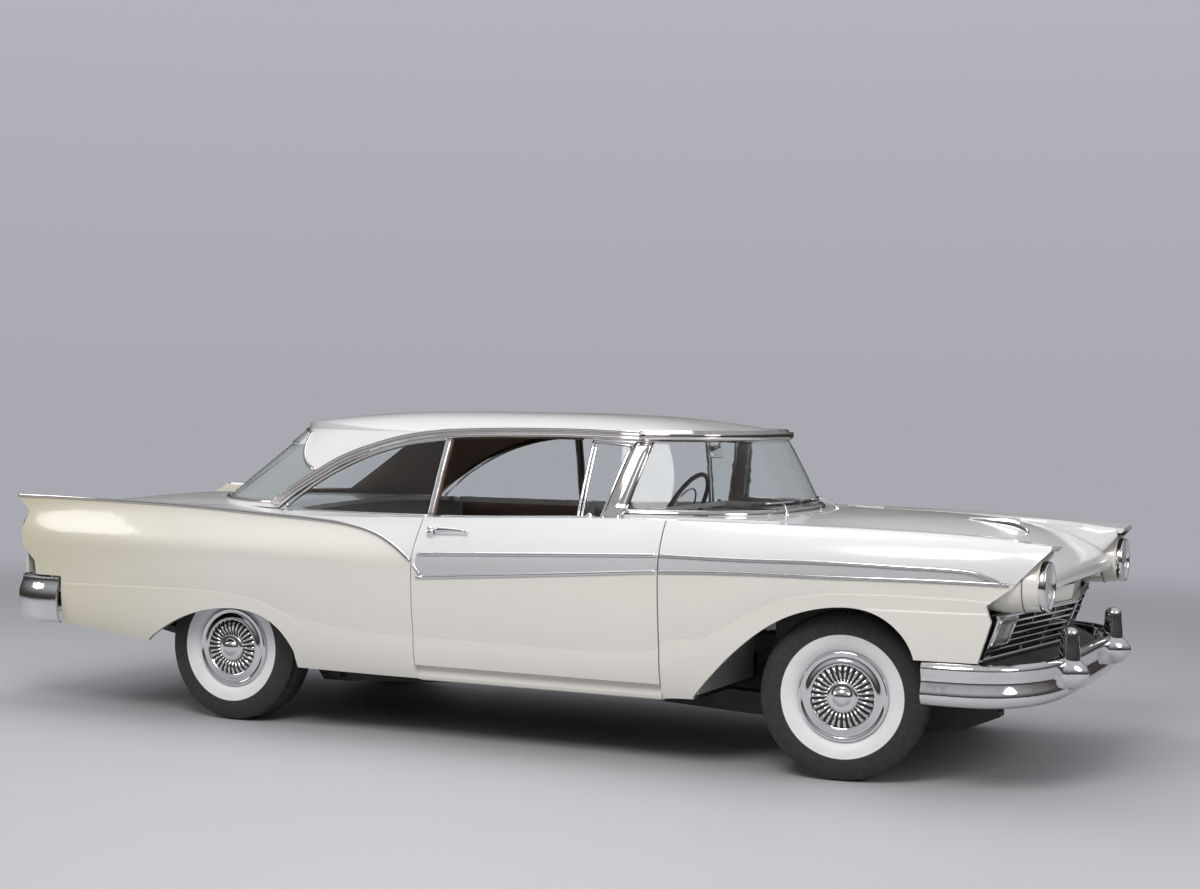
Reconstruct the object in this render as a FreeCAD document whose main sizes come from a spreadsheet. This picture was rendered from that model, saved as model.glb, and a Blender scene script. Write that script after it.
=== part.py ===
import FreeCAD, Part
import math
import os
import Sketcher
from FreeCAD import Placement, Rotation, Vector

# A two-door hardtop of the 1950s, in millimetres. X points forward, Y to the left and Z up.
# The origin is on the ground, in the middle of the car's length and width.

doc = FreeCAD.newDocument("classic_car")
sheet = doc.addObject("Spreadsheet::Sheet", "sizes")

SIZES = {
    # Running gear
    "wheelbase": 2997,
    "front_axle_x": 1708,
    "axle_height": 345,
    "front_track": 1499,
    "rear_track": 1433,
    "tyre_radius": 345,
    "tyre_width": 190,
    "rim_radius": 187,
    "rim_wall": 7,
    "hub_cap_radius": 176,
    "steer_angle": 8,
    "kingpin_inset": 55,
    "kingpin_radius": 17,
    "spindle_radius": 20,
    "axle_tube_radius": 40,
    "front_overhang": 930,
    "rear_overhang": 1349,
    # Body
    "body_half_width": 966,
    "sill_half_width": 905,
    "sill_z": 288,
    "sill_height": 56,
    "panel_gap": 6,
    "seat_gap": 0.3,
    "skin": 22,
    "door_length": 1174,
    "door_front_back": 753,
    "door_inner_y": 762,
    "door_rear_rake": 30,
    "floor_z": 275,
    "floor_thickness": 18,
    "firewall_back": 640,
    "hood_half_width": 735,
    "hood_nose_half": 640,
    "lip_z": 796,
    "deck_half_width": 700,
    "hood_thickness": 20,
    "lid_thickness": 24,
    "deck_z": 1008,
    "deck_crown": 18,
    "cowl_z": 1038,
    "roof_z": 1468,
    "roof_shell": 28,
    "glass": 6,
    # Front and rear ends
    "lamp_y": 775,
    "lamp_z": 828,
    "lamp_radius": 97,
    "lamp_reach": 288,
    "grille_half_width": 850,
    "grille_low": 535,
    "grille_top": 700,
    "grille_bars": 5,
    "grille_posts": 2,
    "bar_height": 10,
    "parking_lamp_inner": 655,
    "guard_y": 450,
    "guard_radius": 73,
    "post_radius": 48,
    "tail_lamp_radius": 78,
    "tail_lamp_y": 785,
    "tail_lamp_z": 862,
    # Cabin
    "seat_half_width": 690,
    "seat_top": 620,
    "steering_y": 385,
    "steering_radius": 215,
    "steering_grip": 11,
    "steering_x": 500,
    "steering_z": 985,
    "column_tilt": 27,
    "column_radius": 26,
    # Below
    "rail_width": 80,
    "rail_height": 95,
    "rail_z": 175,
    "front_rail_y": 420,
    "rear_rail_to_tyre": 151.5,
    "pipe_to_tyre": 20.5,
    "tunnel_half": 110,
    "tunnel_height": 115,
    "exhaust_radius": 26,
    "shaft_radius": 38,
}


class Size:
    """A number of the sheet, or a sum or product of such numbers, with the expression that gives it."""

    def __init__(self, text, number):
        self.text = text
        self.number = float(number)

    def __float__(self):
        return self.number

    def joined(self, other, sign, number):
        return Size("(%s %s %s)" % (self.text, sign, text_of(other)), number)

    def __add__(self, other):
        return self.joined(other, "+", self.number + float(other))

    def __sub__(self, other):
        return self.joined(other, "-", self.number - float(other))

    def __rsub__(self, other):
        return Size("(%s - %s)" % (text_of(other), self.text), float(other) - self.number)

    def __mul__(self, other):
        return self.joined(other, "*", self.number * float(other))

    def __truediv__(self, other):
        return self.joined(other, "/", self.number / float(other))

    def __neg__(self):
        return Size("(0 - %s)" % self.text, -self.number)

    __radd__ = __add__
    __rmul__ = __mul__


def text_of(value):
    return value.text if isinstance(value, Size) else "%.4f" % value


def fill_sheet():
    """Writes each size to the sheet under its own name and returns them by name."""
    sizes = {}
    for row, (name, number) in enumerate(SIZES.items(), start=1):
        sheet.set("A%d" % row, name)
        sheet.set("B%d" % row, str(number))
        sheet.setAlias("B%d" % row, name)
    doc.recompute()
    for name in SIZES:
        sizes[name] = Size("sizes." + name, sheet.get(name))
    return sizes


S = fill_sheet()
NODES = []


def node(obj, label):
    """Marks an object as a piece of the car and gives it its name."""
    obj.Label = label
    NODES.append(obj)
    return obj


def place(obj, x, y, z, rotation=None):
    """Places an object at sizes, so that it follows them."""
    obj.Placement = Placement(Vector(float(x), float(y), float(z)), rotation or Rotation())
    for axis, value in (("x", x), ("y", y), ("z", z)):
        if isinstance(value, Size):
            obj.setExpression("Placement.Base." + axis, value.text)
    return obj


def bind(obj, **sizes):
    for name, value in sizes.items():
        setattr(obj, name, float(value))
        if isinstance(value, Size):
            obj.setExpression(name, value.text)
    return obj


def box(name, low, high):
    """A box between two corners."""
    obj = doc.addObject("Part::Box", name)
    bind(obj, Length=high[0] - low[0], Width=high[1] - low[1], Height=high[2] - low[2])
    return place(obj, *low)


UP = Rotation()
ALONG_X = Rotation(Vector(0, 1, 0), 90)
ALONG_Y = Rotation(Vector(1, 0, 0), -90)


def rod(name, base, radius, length, rotation=UP):
    """A round bar that starts at base and runs along Z, or the way that rotation turns it."""
    obj = doc.addObject("Part::Cylinder", name)
    bind(obj, Radius=radius, Height=length)
    return place(obj, *base, rotation)


def fused(name, pieces):
    obj = doc.addObject("Part::MultiFuse", name)
    obj.Shapes = pieces
    return obj


def cut(name, base, tool):
    obj = doc.addObject("Part::Cut", name)
    obj.Base = base
    obj.Tool = tool
    return obj


def together(name, pieces):
    """Pieces that don't touch, in one object."""
    obj = doc.addObject("Part::Compound", name)
    obj.Links = pieces
    return obj


def feature(name, shape):
    obj = doc.addObject("Part::Feature", name)
    obj.Shape = shape
    return obj


def origin_plane(body, role):
    for plane in body.Origin.OriginFeatures:
        if plane.Role == role:
            return plane
    raise RuntimeError("no plane " + role)


def outline_sketch(body, name, plane, points):
    """A closed outline of straight lines whose corners are bound to the sheet."""
    sketch = body.newObject("Sketcher::SketchObject", name)
    sketch.AttachmentSupport = [(origin_plane(body, plane), "")]
    sketch.MapMode = "FlatFace"
    count = len(points)
    for index in range(count):
        start = points[index]
        end = points[(index + 1) % count]
        line = Part.LineSegment(Vector(float(start[0]), float(start[1]), 0),
                                Vector(float(end[0]), float(end[1]), 0))
        sketch.addGeometry(line, False)
    for index in range(count):
        sketch.addConstraint(Sketcher.Constraint("Coincident", index, 2, (index + 1) % count, 1))
    for index, point in enumerate(points):
        for way, value in zip(("DistanceX", "DistanceY"), point):
            number = sketch.addConstraint(Sketcher.Constraint(way, -1, 1, index, 1, float(value)))
            if isinstance(value, Size):
                sketch.setExpression("Constraints[%d]" % number, value.text)
    return sketch


def turned(name, points, place_at, rotation=UP):
    """A body turned about its own Y axis; each point is a distance along Y and a radius."""
    body = doc.addObject("PartDesign::Body", name)
    sketch = outline_sketch(body, name + "_profile", "YZ_Plane", points)
    turn = body.newObject("PartDesign::Revolution", name + "_turn")
    turn.Profile = sketch
    turn.ReferenceAxis = (sketch, ["H_Axis"])
    turn.Angle = 360
    body.Tip = turn
    return place(body, *place_at, rotation)


def padded(name, points, half_width, centre_y=0.0):
    """A body with an outline in side view, padded evenly to both sides."""
    body = doc.addObject("PartDesign::Body", name)
    sketch = outline_sketch(body, name + "_profile", "XZ_Plane", points)
    pad = body.newObject("PartDesign::Pad", name + "_pad")
    pad.Profile = sketch
    pad.Midplane = True
    bind(pad, Length=half_width * 2)
    body.Tip = pad
    return place(body, 0, centre_y, 0)


# Lines of the body

FRONT_AXLE = float(S["front_axle_x"])
REAR_AXLE = FRONT_AXLE - float(S["wheelbase"])
rear_axle_x = S["front_axle_x"] - S["wheelbase"]
FRONT_END = FRONT_AXLE + float(S["front_overhang"])
REAR_END = REAR_AXLE - float(S["rear_overhang"])
DOOR_FRONT = FRONT_AXLE - float(S["door_front_back"])
DOOR_REAR = DOOR_FRONT - float(S["door_length"])
GAP = float(S["panel_gap"])
SEAT = float(S["seat_gap"])
SKIN = float(S["skin"])


def fore(offset):
    """A place ahead of the front axle."""
    return FRONT_AXLE + offset


def aft(offset):
    """A place ahead of the rear axle, so behind it where offset is negative."""
    return REAR_AXLE + offset


def smooth(points, x):
    """A smooth line through points of (x, value), with no overshoot between them."""
    if x <= points[0][0]:
        return points[0][1]
    if x >= points[-1][0]:
        return points[-1][1]
    slopes = []
    for left, right in zip(points, points[1:]):
        slopes.append((right[1] - left[1]) / (right[0] - left[0]))
    tangents = [slopes[0]]
    for before, after in zip(slopes, slopes[1:]):
        tangents.append(0.0 if before * after <= 0 else 2 * before * after / (before + after))
    tangents.append(slopes[-1])
    for index in range(len(points) - 1):
        x0, v0 = points[index]
        x1, v1 = points[index + 1]
        if x <= x1:
            span = x1 - x0
            u = (x - x0) / span
            return (v0 * (1 + 2 * u) * (1 - u) ** 2 + tangents[index] * span * u * (1 - u) ** 2
                    + v1 * u * u * (3 - 2 * u) + tangents[index + 1] * span * u * u * (u - 1))
    return points[-1][1]


HALF = float(S["body_half_width"])
SILL_Y = float(S["sill_half_width"])
SILL_Z = float(S["sill_z"])
DECK_Z = float(S["deck_z"])

LOW_Z = [(aft(-1256), SILL_Z + 150), (aft(-960), SILL_Z + 126), (aft(-420), SILL_Z + 74),
         (aft(430), SILL_Z + 4), (DOOR_REAR, SILL_Z), (DOOR_FRONT, SILL_Z), (fore(-600), SILL_Z + 8)]
LOW_Y = [(aft(-1256), SILL_Y - 50), (aft(-900), SILL_Y - 15), (aft(0), SILL_Y),
         (fore(0), SILL_Y), (fore(600), SILL_Y - 30), (fore(860), SILL_Y - 60)]
CREASE_Z = [(aft(-1256), 604), (aft(-100), 621), (aft(220), 601), (aft(430), 536), (DOOR_REAR - 200, 480),
            (DOOR_FRONT - 200, 470), (fore(-700), 520), (fore(-557), 560), (fore(-382), 651),
            (fore(-194), 740), (fore(0), 768), (fore(234), 776), (fore(630), 764)]
CREASE_Y = [(aft(-1256), HALF - 78), (aft(-700), HALF - 34), (aft(0), HALF - 18), (DOOR_REAR, HALF - 24),
            (DOOR_FRONT, HALF - 20), (fore(0), HALF - 10), (fore(500), HALF - 36), (fore(860), HALF - 80)]
WIDE_Z = [(aft(-1256), 790), (aft(0), 800), (DOOR_REAR, 790), (DOOR_FRONT, 800), (fore(-200), 850),
          (fore(860), 858)]
WIDE_Y = [(aft(-1256), HALF - 76), (aft(-800), HALF - 34), (aft(0), HALF - 4), (DOOR_FRONT, HALF),
          (fore(0), HALF - 6), (fore(450), HALF - 34), (fore(860), HALF - 92)]
TOP_Z = [(aft(-1256), 1024), (aft(-700), 1021), (aft(-195), 1011), (aft(283), 990), (aft(513), 986),
         (DOOR_REAR, 1000), (DOOR_FRONT, 1032), (fore(-180), 1031), (fore(400), 1022), (fore(852), 990)]
TOP_Y = [(aft(-1256), HALF - 98), (aft(0), HALF - 88), (DOOR_REAR, HALF - 84), (DOOR_FRONT, HALF - 92),
         (fore(-100), HALF - 116), (fore(852), HALF - 150)]
INNER_Z = [(aft(-1256), 985), (aft(-900), 1000), (aft(-560), DECK_Z - 0.5), (aft(300), DECK_Z - 0.5),
           (DOOR_REAR, 1003), (DOOR_FRONT, 1034), (fore(0), 1026), (fore(500), 1010), (fore(852), 980)]
CROWN = [(aft(-1256), 0.1), (aft(0), 0.15), (DOOR_REAR, 0.3), (DOOR_FRONT, 0.5), (fore(0), 0.75),
         (fore(852), 0.8)]


HOOD_HALF = float(S["hood_half_width"])
HOOD_NOSE = float(S["hood_nose_half"])
HOOD_BACK_MIDDLE = fore(-330)
HOOD_BACK_SIDE = fore(-480)
HOOD_STRAIGHT = fore(450)
LIP_Z = float(S["lip_z"])


def blend(low, high, u):
    return low + (high - low) * u


def hood_edge(x):
    """How far the hood reaches to the side at x: it narrows as far as the lamps, where it hinges up."""
    return blend(HOOD_HALF, HOOD_NOSE, min(1.0, (x - HOOD_BACK_SIDE) / (HOOD_STRAIGHT - HOOD_BACK_SIDE)))


def fender_edge(x):
    """The fender's edge beside the hood."""
    return hood_edge(x) + GAP + 2


def deck_edge(x):
    return float(S["deck_half_width"])


def door_face(x):
    return float(S["door_inner_y"])


def bezier(x, poles):
    curve = Part.BezierCurve()
    curve.setPoles([Vector(x, y, z) for y, z in poles])
    return curve.toShape()


def straight(x, start, end):
    third = [(start[k] + (end[k] - start[k]) / 3) for k in (0, 1)]
    two = [(start[k] + (end[k] - start[k]) * 2 / 3) for k in (0, 1)]
    return bezier(x, [start, third, two, end])


def side_edges(x, inner_y, inset):
    """The side of the body cut across at x, from its low edge over the crease to the top's inner edge."""
    low = (smooth(LOW_Y, x) - inset, smooth(LOW_Z, x))
    crease = (smooth(CREASE_Y, x) - inset, smooth(CREASE_Z, x))
    wide = (smooth(WIDE_Y, x) - inset, smooth(WIDE_Z, x))
    top = (smooth(TOP_Y, x) - inset, smooth(TOP_Z, x) - inset)
    inner = (inner_y, smooth(INNER_Z, x) - inset)
    lower = crease[1] - low[1]
    middle = wide[1] - crease[1]
    upper = top[1] - wide[1]
    crown = smooth(CROWN, x)
    reach = wide[0] - top[0]
    return [
        bezier(x, [low, (low[0] + 0.7 * (crease[0] - low[0]), low[1] + 0.25 * lower),
                   (crease[0] + 3, crease[1] - 0.35 * lower), crease]),
        bezier(x, [crease, (crease[0] + 0.6 * (wide[0] - crease[0]) + 2, crease[1] + 0.3 * middle),
                   (wide[0], wide[1] - 0.35 * middle), wide]),
        bezier(x, [wide, (wide[0], wide[1] + 0.4 * upper),
                   (top[0] + crown * reach, top[1] - (1 - crown) * 0.45 * upper), top]),
        straight(x, top, inner),
    ], low, inner


def thin_section(x, inner_y, inset):
    """The side as a skin of one thickness."""
    outer, low, inner = side_edges(x, inner_y(x), 0.0)
    within, low_in, inner_in = side_edges(x, inner_y(x), SKIN)
    back = [edge.reversed() for edge in reversed(within)]
    return Part.Wire(outer + [straight(x, inner, inner_in)] + back + [straight(x, low_in, low)])


def thick_section(x, inner_y, inset):
    """The side as a wall as thick as the door, closed by an upright inner face."""
    outer, low, inner = side_edges(x, inner_y(x), inset)
    foot = (inner_y(x), low[1])
    return Part.Wire(outer + [straight(x, inner, foot), straight(x, foot, low)])


def side_loft(section, start, end, inner_y, inset=0.0, step=170.0):
    """A loft of the body's side between two places, through evenly spaced sections."""
    count = max(2, int(round((end - start) / step)))
    wires = [section(start + (end - start) * index / count, inner_y, inset) for index in range(count + 1)]
    return Part.makeLoft(wires, True, False)


def extruded(face, way):
    """A face drawn out into a solid that is the right way out."""
    solid = face.extrude(way)
    if solid.Volume < 0:
        solid.reverse()
    return solid


def side_prism(points, y0=-1200.0, y1=1200.0):
    """A prism with an outline in side view, points of (x, z), between two distances to the side."""
    corners = [Vector(x, y0, z) for x, z in points]
    return extruded(Part.Face(Part.makePolygon(corners + corners[:1])), Vector(0, y1 - y0, 0))


def plan_prism(points, z0=-100.0, z1=1800.0):
    """A prism with an outline seen from above, points of (x, y)."""
    corners = [Vector(x, y, z0) for x, y in points]
    return extruded(Part.Face(Part.makePolygon(corners + corners[:1])), Vector(0, 0, z1 - z0))


def flipped(shape):
    return shape.mirror(Vector(0, 0, 0), Vector(0, 1, 0))


# The sides are modelled on the left, where Y is positive, and mirrored to the right.

DOOR_LOW = SILL_Z + float(S["sill_height"]) + GAP
RAKE = float(S["door_rear_rake"])
DOOR_IN = float(S["door_inner_y"])


def lock_line(offset):
    """The raked line of the door's rear edge in plan, moved forward by offset."""
    return [(DOOR_REAR + offset, 1200.0 - 235.0), (DOOR_REAR + offset + RAKE, DOOR_IN)]


def rear_wall_plan(offset, end):
    """What lies between the door's rear edge and end, seen from above."""
    outer, inner = lock_line(offset)
    slope = (inner[0] - outer[0]) / (inner[1] - outer[1])
    far = (outer[0] + slope * (1200.0 - outer[1]), 1200.0)
    near = (inner[0] + slope * (500.0 - inner[1]), 500.0)
    return [far, near, (end, 500.0), (end, 1200.0)]


def make_door():
    shell = side_loft(thick_section, DOOR_REAR - 100, DOOR_FRONT + 50, door_face)
    outline = side_prism([(DOOR_REAR - 90, DOOR_LOW), (DOOR_FRONT + 8, DOOR_LOW), (DOOR_FRONT, 1200),
                          (DOOR_REAR - 90, 1200)])
    return shell.common(outline).common(plan_prism(rear_wall_plan(0.0, DOOR_FRONT + 40)))


WALL_END = aft(340)
AXLE_Z = float(S["axle_height"])


def rear_arch():
    """The low rear wheel opening: a flat arch that the tyre's top reaches behind."""
    points = [(-406, 200), (-406, 367), (-188, 488), (45, 544), (273, 516), (434, 366), (452, 200)]
    return bowed_prism([(aft(x), z) for x, z in points])


def front_arch():
    """The front wheel opening, with the cut under the fender's nose."""
    points = [(-612, 200), (-603, 305), (-375, 541), (-204, 657), (10, 717), (173, 704), (297, 616),
              (340, 527), (590, 527)]
    nose = [(fore(590), 529), (fore(640), 690), (fore(620), 752), (fore(713), 823), (fore(862), 984),
            (fore(1000), 984), (fore(1000), 200)]
    return bowed_prism([(fore(x), z) for x, z in points], nose)


def bowed_prism(points, tail=()):
    """A prism whose outline runs smoothly through the inner points and straight elsewhere."""
    curve = Part.BSplineCurve()
    inner = points[1:-1]
    curve.interpolate([Vector(x, 500, z) for x, z in inner])
    chain = [points[0], inner[0]]
    edges = [Part.makeLine(Vector(chain[0][0], 500, chain[0][1]), Vector(chain[1][0], 500, chain[1][1])),
             curve.toShape()]
    rest = [inner[-1], points[-1]] + list(tail)
    for start, end in zip(rest, rest[1:]):
        if start != end:
            edges.append(Part.makeLine(Vector(start[0], 500, start[1]), Vector(end[0], 500, end[1])))
    last = rest[-1]
    edges.append(Part.makeLine(Vector(last[0], 500, last[1]), Vector(points[0][0], 500, points[0][1])))
    return extruded(Part.Face(Part.Wire(edges)), Vector(0, 700, 0))


def tail_cut():
    """What lies behind the quarter panel's end: below the fin's tip, round the lamp and over the bumper."""
    outline = [(-1256, 1030), (-1160, 951), (-1197, 851), (-1183, 778), (-1101, 708), (-1090, 642),
               (-925, 642), (-925, 200), (-1500, 200), (-1500, 1030)]
    return side_prism([(aft(x), z) for x, z in outline], 500, 1200)


TYRE_INNER = (float(S["rear_track"]) - float(S["tyre_width"])) / 2


def rear_wheel_room():
    """The room that the left rear tyre needs inside the quarter panel, with the panel gap round it."""
    start = Vector(aft(0), TYRE_INNER, AXLE_Z)
    return Part.makeCylinder(float(S["tyre_radius"]) + GAP, float(S["tyre_width"]) + GAP, start,
                             Vector(0, 1, 0))


def make_quarter():
    wall = side_loft(thick_section, WALL_END, DOOR_REAR + 60, door_face)
    wall = wall.common(plan_prism(rear_wall_plan(-GAP, WALL_END - 10)))
    tail = side_loft(thin_section, aft(-1256), WALL_END, deck_edge)
    return wall.fuse(tail).cut([rear_arch(), tail_cut(), rear_wheel_room()]).removeSplitter()


def make_fender():
    start = DOOR_FRONT + GAP
    shell = side_loft(thin_section, start - 1, fore(852), fender_edge)
    rear_edge = side_prism([(start + 9.4, 200), (start, 1200), (fore(900), 1200), (fore(900), 200)])
    return shell.common(rear_edge).cut(front_arch())


def both(name, shape):
    """A piece for each side of the car, modelled on the left."""
    node(feature(name + "_left", shape), name + "_left")
    node(feature(name + "_right", flipped(shape)), name + "_right")


door = make_door()
quarter = make_quarter()
both("door", door)
both("quarter_panel", quarter)
fender = make_fender()
both("front_fender", fender)


# Greenhouse: the roof, its pillars and the glass are cut from one closed dome

ROOF_Z = float(S["roof_z"])
DRIP_Z = ROOF_Z - 93
DOME_BASE = DECK_Z - 60
DRIP_HALF = 655
DRIP_FRONT = 1085
DRIP_REAR = -1290


def dome_level(z, inset):
    """The dome seen from above at one height: two rounded ends joined along straight sides."""
    u = (z - DOME_BASE) / (DRIP_Z - DOME_BASE)
    bow = 0.22 * u * (1 - u)
    half = blend(800, DRIP_HALF, u - bow) - inset
    front = blend(1318, DRIP_FRONT, u - 0.5 * bow) - inset
    rear = blend(-1850, DRIP_REAR, u) + inset
    front_start = blend(200, 60, u)
    rear_start = blend(-930, -450, u)
    power = 2.0 / blend(2.7, 3.5, u)
    points = []
    for degrees in (0, 12, 26, 42, 60, 90):
        angle = math.radians(degrees)
        points.append((front_start + (front - front_start) * math.cos(angle) ** power,
                       half * math.sin(angle) ** power))
    for degrees in (0, 22, 45, 67, 90):
        angle = math.radians(degrees)
        points.append((rear_start + (rear - rear_start) * math.sin(angle), half * math.cos(angle)))
    points[-1] = (points[-1][0], 0.0)
    around = points + [(x, -y) for x, y in reversed(points[1:-1])]
    curve = Part.BSplineCurve()
    curve.interpolate([Vector(x, y, z) for x, y in around], True)
    return Part.Wire([curve.toShape()])


def crown_skin(inset):
    """The roof's top as one surface: level in the middle, it falls ever faster to all four sides."""
    rise = ROOF_Z - inset - DRIP_Z
    middle = (DRIP_FRONT + DRIP_REAR) / 2
    reach_x = (DRIP_FRONT - DRIP_REAR) / 2 + 8 - inset
    reach_y = DRIP_HALF + 7 - inset
    rows = []
    for index in range(15):
        share_x = index / 7 - 1
        row = []
        for step in range(11):
            share_y = step / 5 - 1
            height = rise * (1 - abs(share_x) ** 3.4) * (1 - abs(share_y) ** 3.2)
            row.append(Vector(middle + share_x * reach_x, share_y * reach_y, DRIP_Z + height))
        rows.append(row)
    surface = Part.BSplineSurface()
    surface.interpolate(rows)
    return surface.toShape()


def dome(inset):
    """The closed dome, made smaller all round by inset: the glass part and the roof's crown."""
    sides = [blend(DOME_BASE, DRIP_Z, share) for share in (0, 0.25, 0.5, 0.75, 1)]
    lower = Part.makeLoft([dome_level(z, inset) for z in sides], True, False)
    column = extruded(Part.Face(dome_level(DRIP_Z, inset)), Vector(0, 0, ROOF_Z + 20 - DRIP_Z))
    crown = column.common(extruded(crown_skin(inset), Vector(0, 0, -300)))
    return lower.fuse(crown)


def windshield_hole():
    return side_prism([(690, 1056), (1500, 1056), (1500, 1372), (1000, 1372), (765, 1352)])


SIDE_HOLE = [(612, 960), (612, 1030), (704, 1346), (480, 1366), (246, 1374), (0, 1374), (-235, 1364),
             (-400, 1340), (-560, 1300), (-700, 1245), (-860, 1160), (-1000, 1062), (-1060, 1012),
             (-1075, 960)]


def side_hole():
    return side_prism(SIDE_HOLE)


def rear_hole():
    return side_prism([(-1094, 1298), (-2000, 1298), (-2000, 1042), (-1470, 1042)])


def deck_plate():
    """The crowned panel round the rear glass, which is the parcel shelf inside."""
    half = float(S["deck_half_width"]) - SEAT
    crown = float(S["deck_crown"])
    front = aft(309)
    back = aft(-573)
    top = Part.Arc(Vector(front, -half, DECK_Z - 0.5), Vector(front, 0, DECK_Z + crown),
                   Vector(front, half, DECK_Z - 0.5)).toShape()
    below = Part.Arc(Vector(front, -half, DECK_Z - 20.5), Vector(front, 0, DECK_Z + crown - 20),
                     Vector(front, half, DECK_Z - 20.5)).toShape()
    ends = [Part.makeLine(Vector(front, y, DECK_Z - 0.5), Vector(front, y, DECK_Z - 20.5))
            for y in (-half, half)]
    face = Part.Face(Part.Wire(Part.__sortEdges__([top, below] + ends)))
    return extruded(face, Vector(back - front, 0, 0))


outer_dome = dome(0.0)
inner_dome = dome(float(S["roof_shell"]))
deck = deck_plate()
belt = side_prism([(1400, 1040), (560, 1040), (-900, DECK_Z), (-2100, DECK_Z), (-2100, 800), (1400, 800)])
roof = outer_dome.cut(inner_dome).cut(belt).cut(windshield_hole()).cut(side_hole()).cut(rear_hole()).cut(deck)
node(feature("roof", roof), "roof")
glass_shell = dome(8.0).cut(dome(8.0 + float(S["glass"])))
node(feature("windshield", glass_shell.common(windshield_hole())), "windshield")
node(feature("rear_deck", deck), "rear_deck")


# Hood, cowl and trunk lid

FLOOR_Z = float(S["floor_z"])
FLOOR_TOP = FLOOR_Z + float(S["floor_thickness"])
COWL_Z = float(S["cowl_z"])
FIREWALL = FRONT_AXLE - float(S["firewall_back"])


def long_profile(y, top, thickness, tail=None):
    """A closed side-view outline at y: a smooth top line, ends cut square and a lower line below it."""
    upper = Part.BSplineCurve()
    upper.interpolate([Vector(x, y, z) for x, z in top])
    lower = Part.BSplineCurve()
    lower.interpolate([Vector(x + dx, y, z + dz) for (x, z), (dx, dz) in zip(top, thickness)])
    first, last = top[0], top[-1]
    first_low = (first[0] + thickness[0][0], first[1] + thickness[0][1])
    last_low = (last[0] + thickness[-1][0], last[1] + thickness[-1][1])
    return Part.Wire([
        upper.toShape(),
        Part.makeLine(Vector(last[0], y, last[1]), Vector(last_low[0], y, last_low[1])),
        lower.toShape(),
        Part.makeLine(Vector(first_low[0], y, first_low[1]), Vector(first[0], y, first[1])),
    ])


def hood_top(y):
    """The hood's top line at a distance from the middle: a raised centre that falls to the nose."""
    share = min(1.0, abs(y) / HOOD_HALF)
    swell = math.cos(share * math.pi / 2)
    drop = 14 * share * share
    return [(fore(-520), COWL_Z + 8 - 0.5 * drop), (fore(-200), COWL_Z + 2 + 10 * swell - drop),
            (fore(150), COWL_Z - 10 + 18 * swell - drop), (fore(420), COWL_Z - 36 + 20 * swell - drop),
            (fore(570), COWL_Z - 70 + 16 * swell - drop), (fore(690), COWL_Z - 120 + 8 * swell - drop),
            (fore(768), 872.0 - drop), (fore(790), 846.0 - drop), (fore(788), LIP_Z)]


def hood_plan(gap):
    """The hood seen from above, made larger all round by gap."""
    side_back = HOOD_HALF + gap
    side_front = HOOD_NOSE + gap
    corner_x = HOOD_BACK_SIDE - 1.5 * gap
    back = Part.Arc(Vector(corner_x, side_back, -50), Vector(HOOD_BACK_MIDDLE - gap, 0, -50),
                    Vector(corner_x, -side_back, -50)).toShape()
    edges = [back]
    corners = [Vector(corner_x, -side_back, -50), Vector(HOOD_STRAIGHT, -side_front, -50),
               Vector(fore(900), -side_front, -50), Vector(fore(900), side_front, -50),
               Vector(HOOD_STRAIGHT, side_front, -50), Vector(corner_x, side_back, -50)]
    for start, end in zip(corners, corners[1:]):
        edges.append(Part.makeLine(start, end))
    return extruded(Part.Face(Part.Wire(edges)), Vector(0, 0, 1500))


def make_hood():
    depth = float(S["hood_thickness"])
    inward = [(0, -depth)] * 4 + [(-3, -depth), (-10, -depth), (-18, -12), (-depth, -6), (-depth, 0)]
    places = [HOOD_HALF * share for share in (-1.02, -0.75, -0.45, -0.15, 0.15, 0.45, 0.75, 1.02)]
    wires = [long_profile(y, hood_top(y), inward) for y in places]
    return Part.makeLoft(wires, True, False).common(hood_plan(0.0))


node(feature("hood", make_hood()), "hood")

def side_core(start, end, low, high, inner_y=None):
    """A block that fills the side's hollow between two places and heights, up against the skin."""
    face = (lambda x: inner_y) if inner_y else (lambda x: DOOR_IN - GAP)
    core = side_loft(thick_section, start, end, face, SKIN + SEAT)
    return core.common(Part.makeBox(end - start, 1200, high - low, Vector(start, 0, low)))


DOGLEG_Y = DOOR_IN - GAP - 70
JAMB = DOOR_FRONT - 60


def tunnel_room(clearance):
    """The room above the propeller shaft, under the floor's tunnel."""
    half = float(S["tunnel_half"]) + clearance
    top = FLOOR_TOP + float(S["tunnel_height"]) + clearance
    return Part.makeBox(FIREWALL + 1100, 2 * half, top, Vector(-1000, -half, 0))


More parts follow.
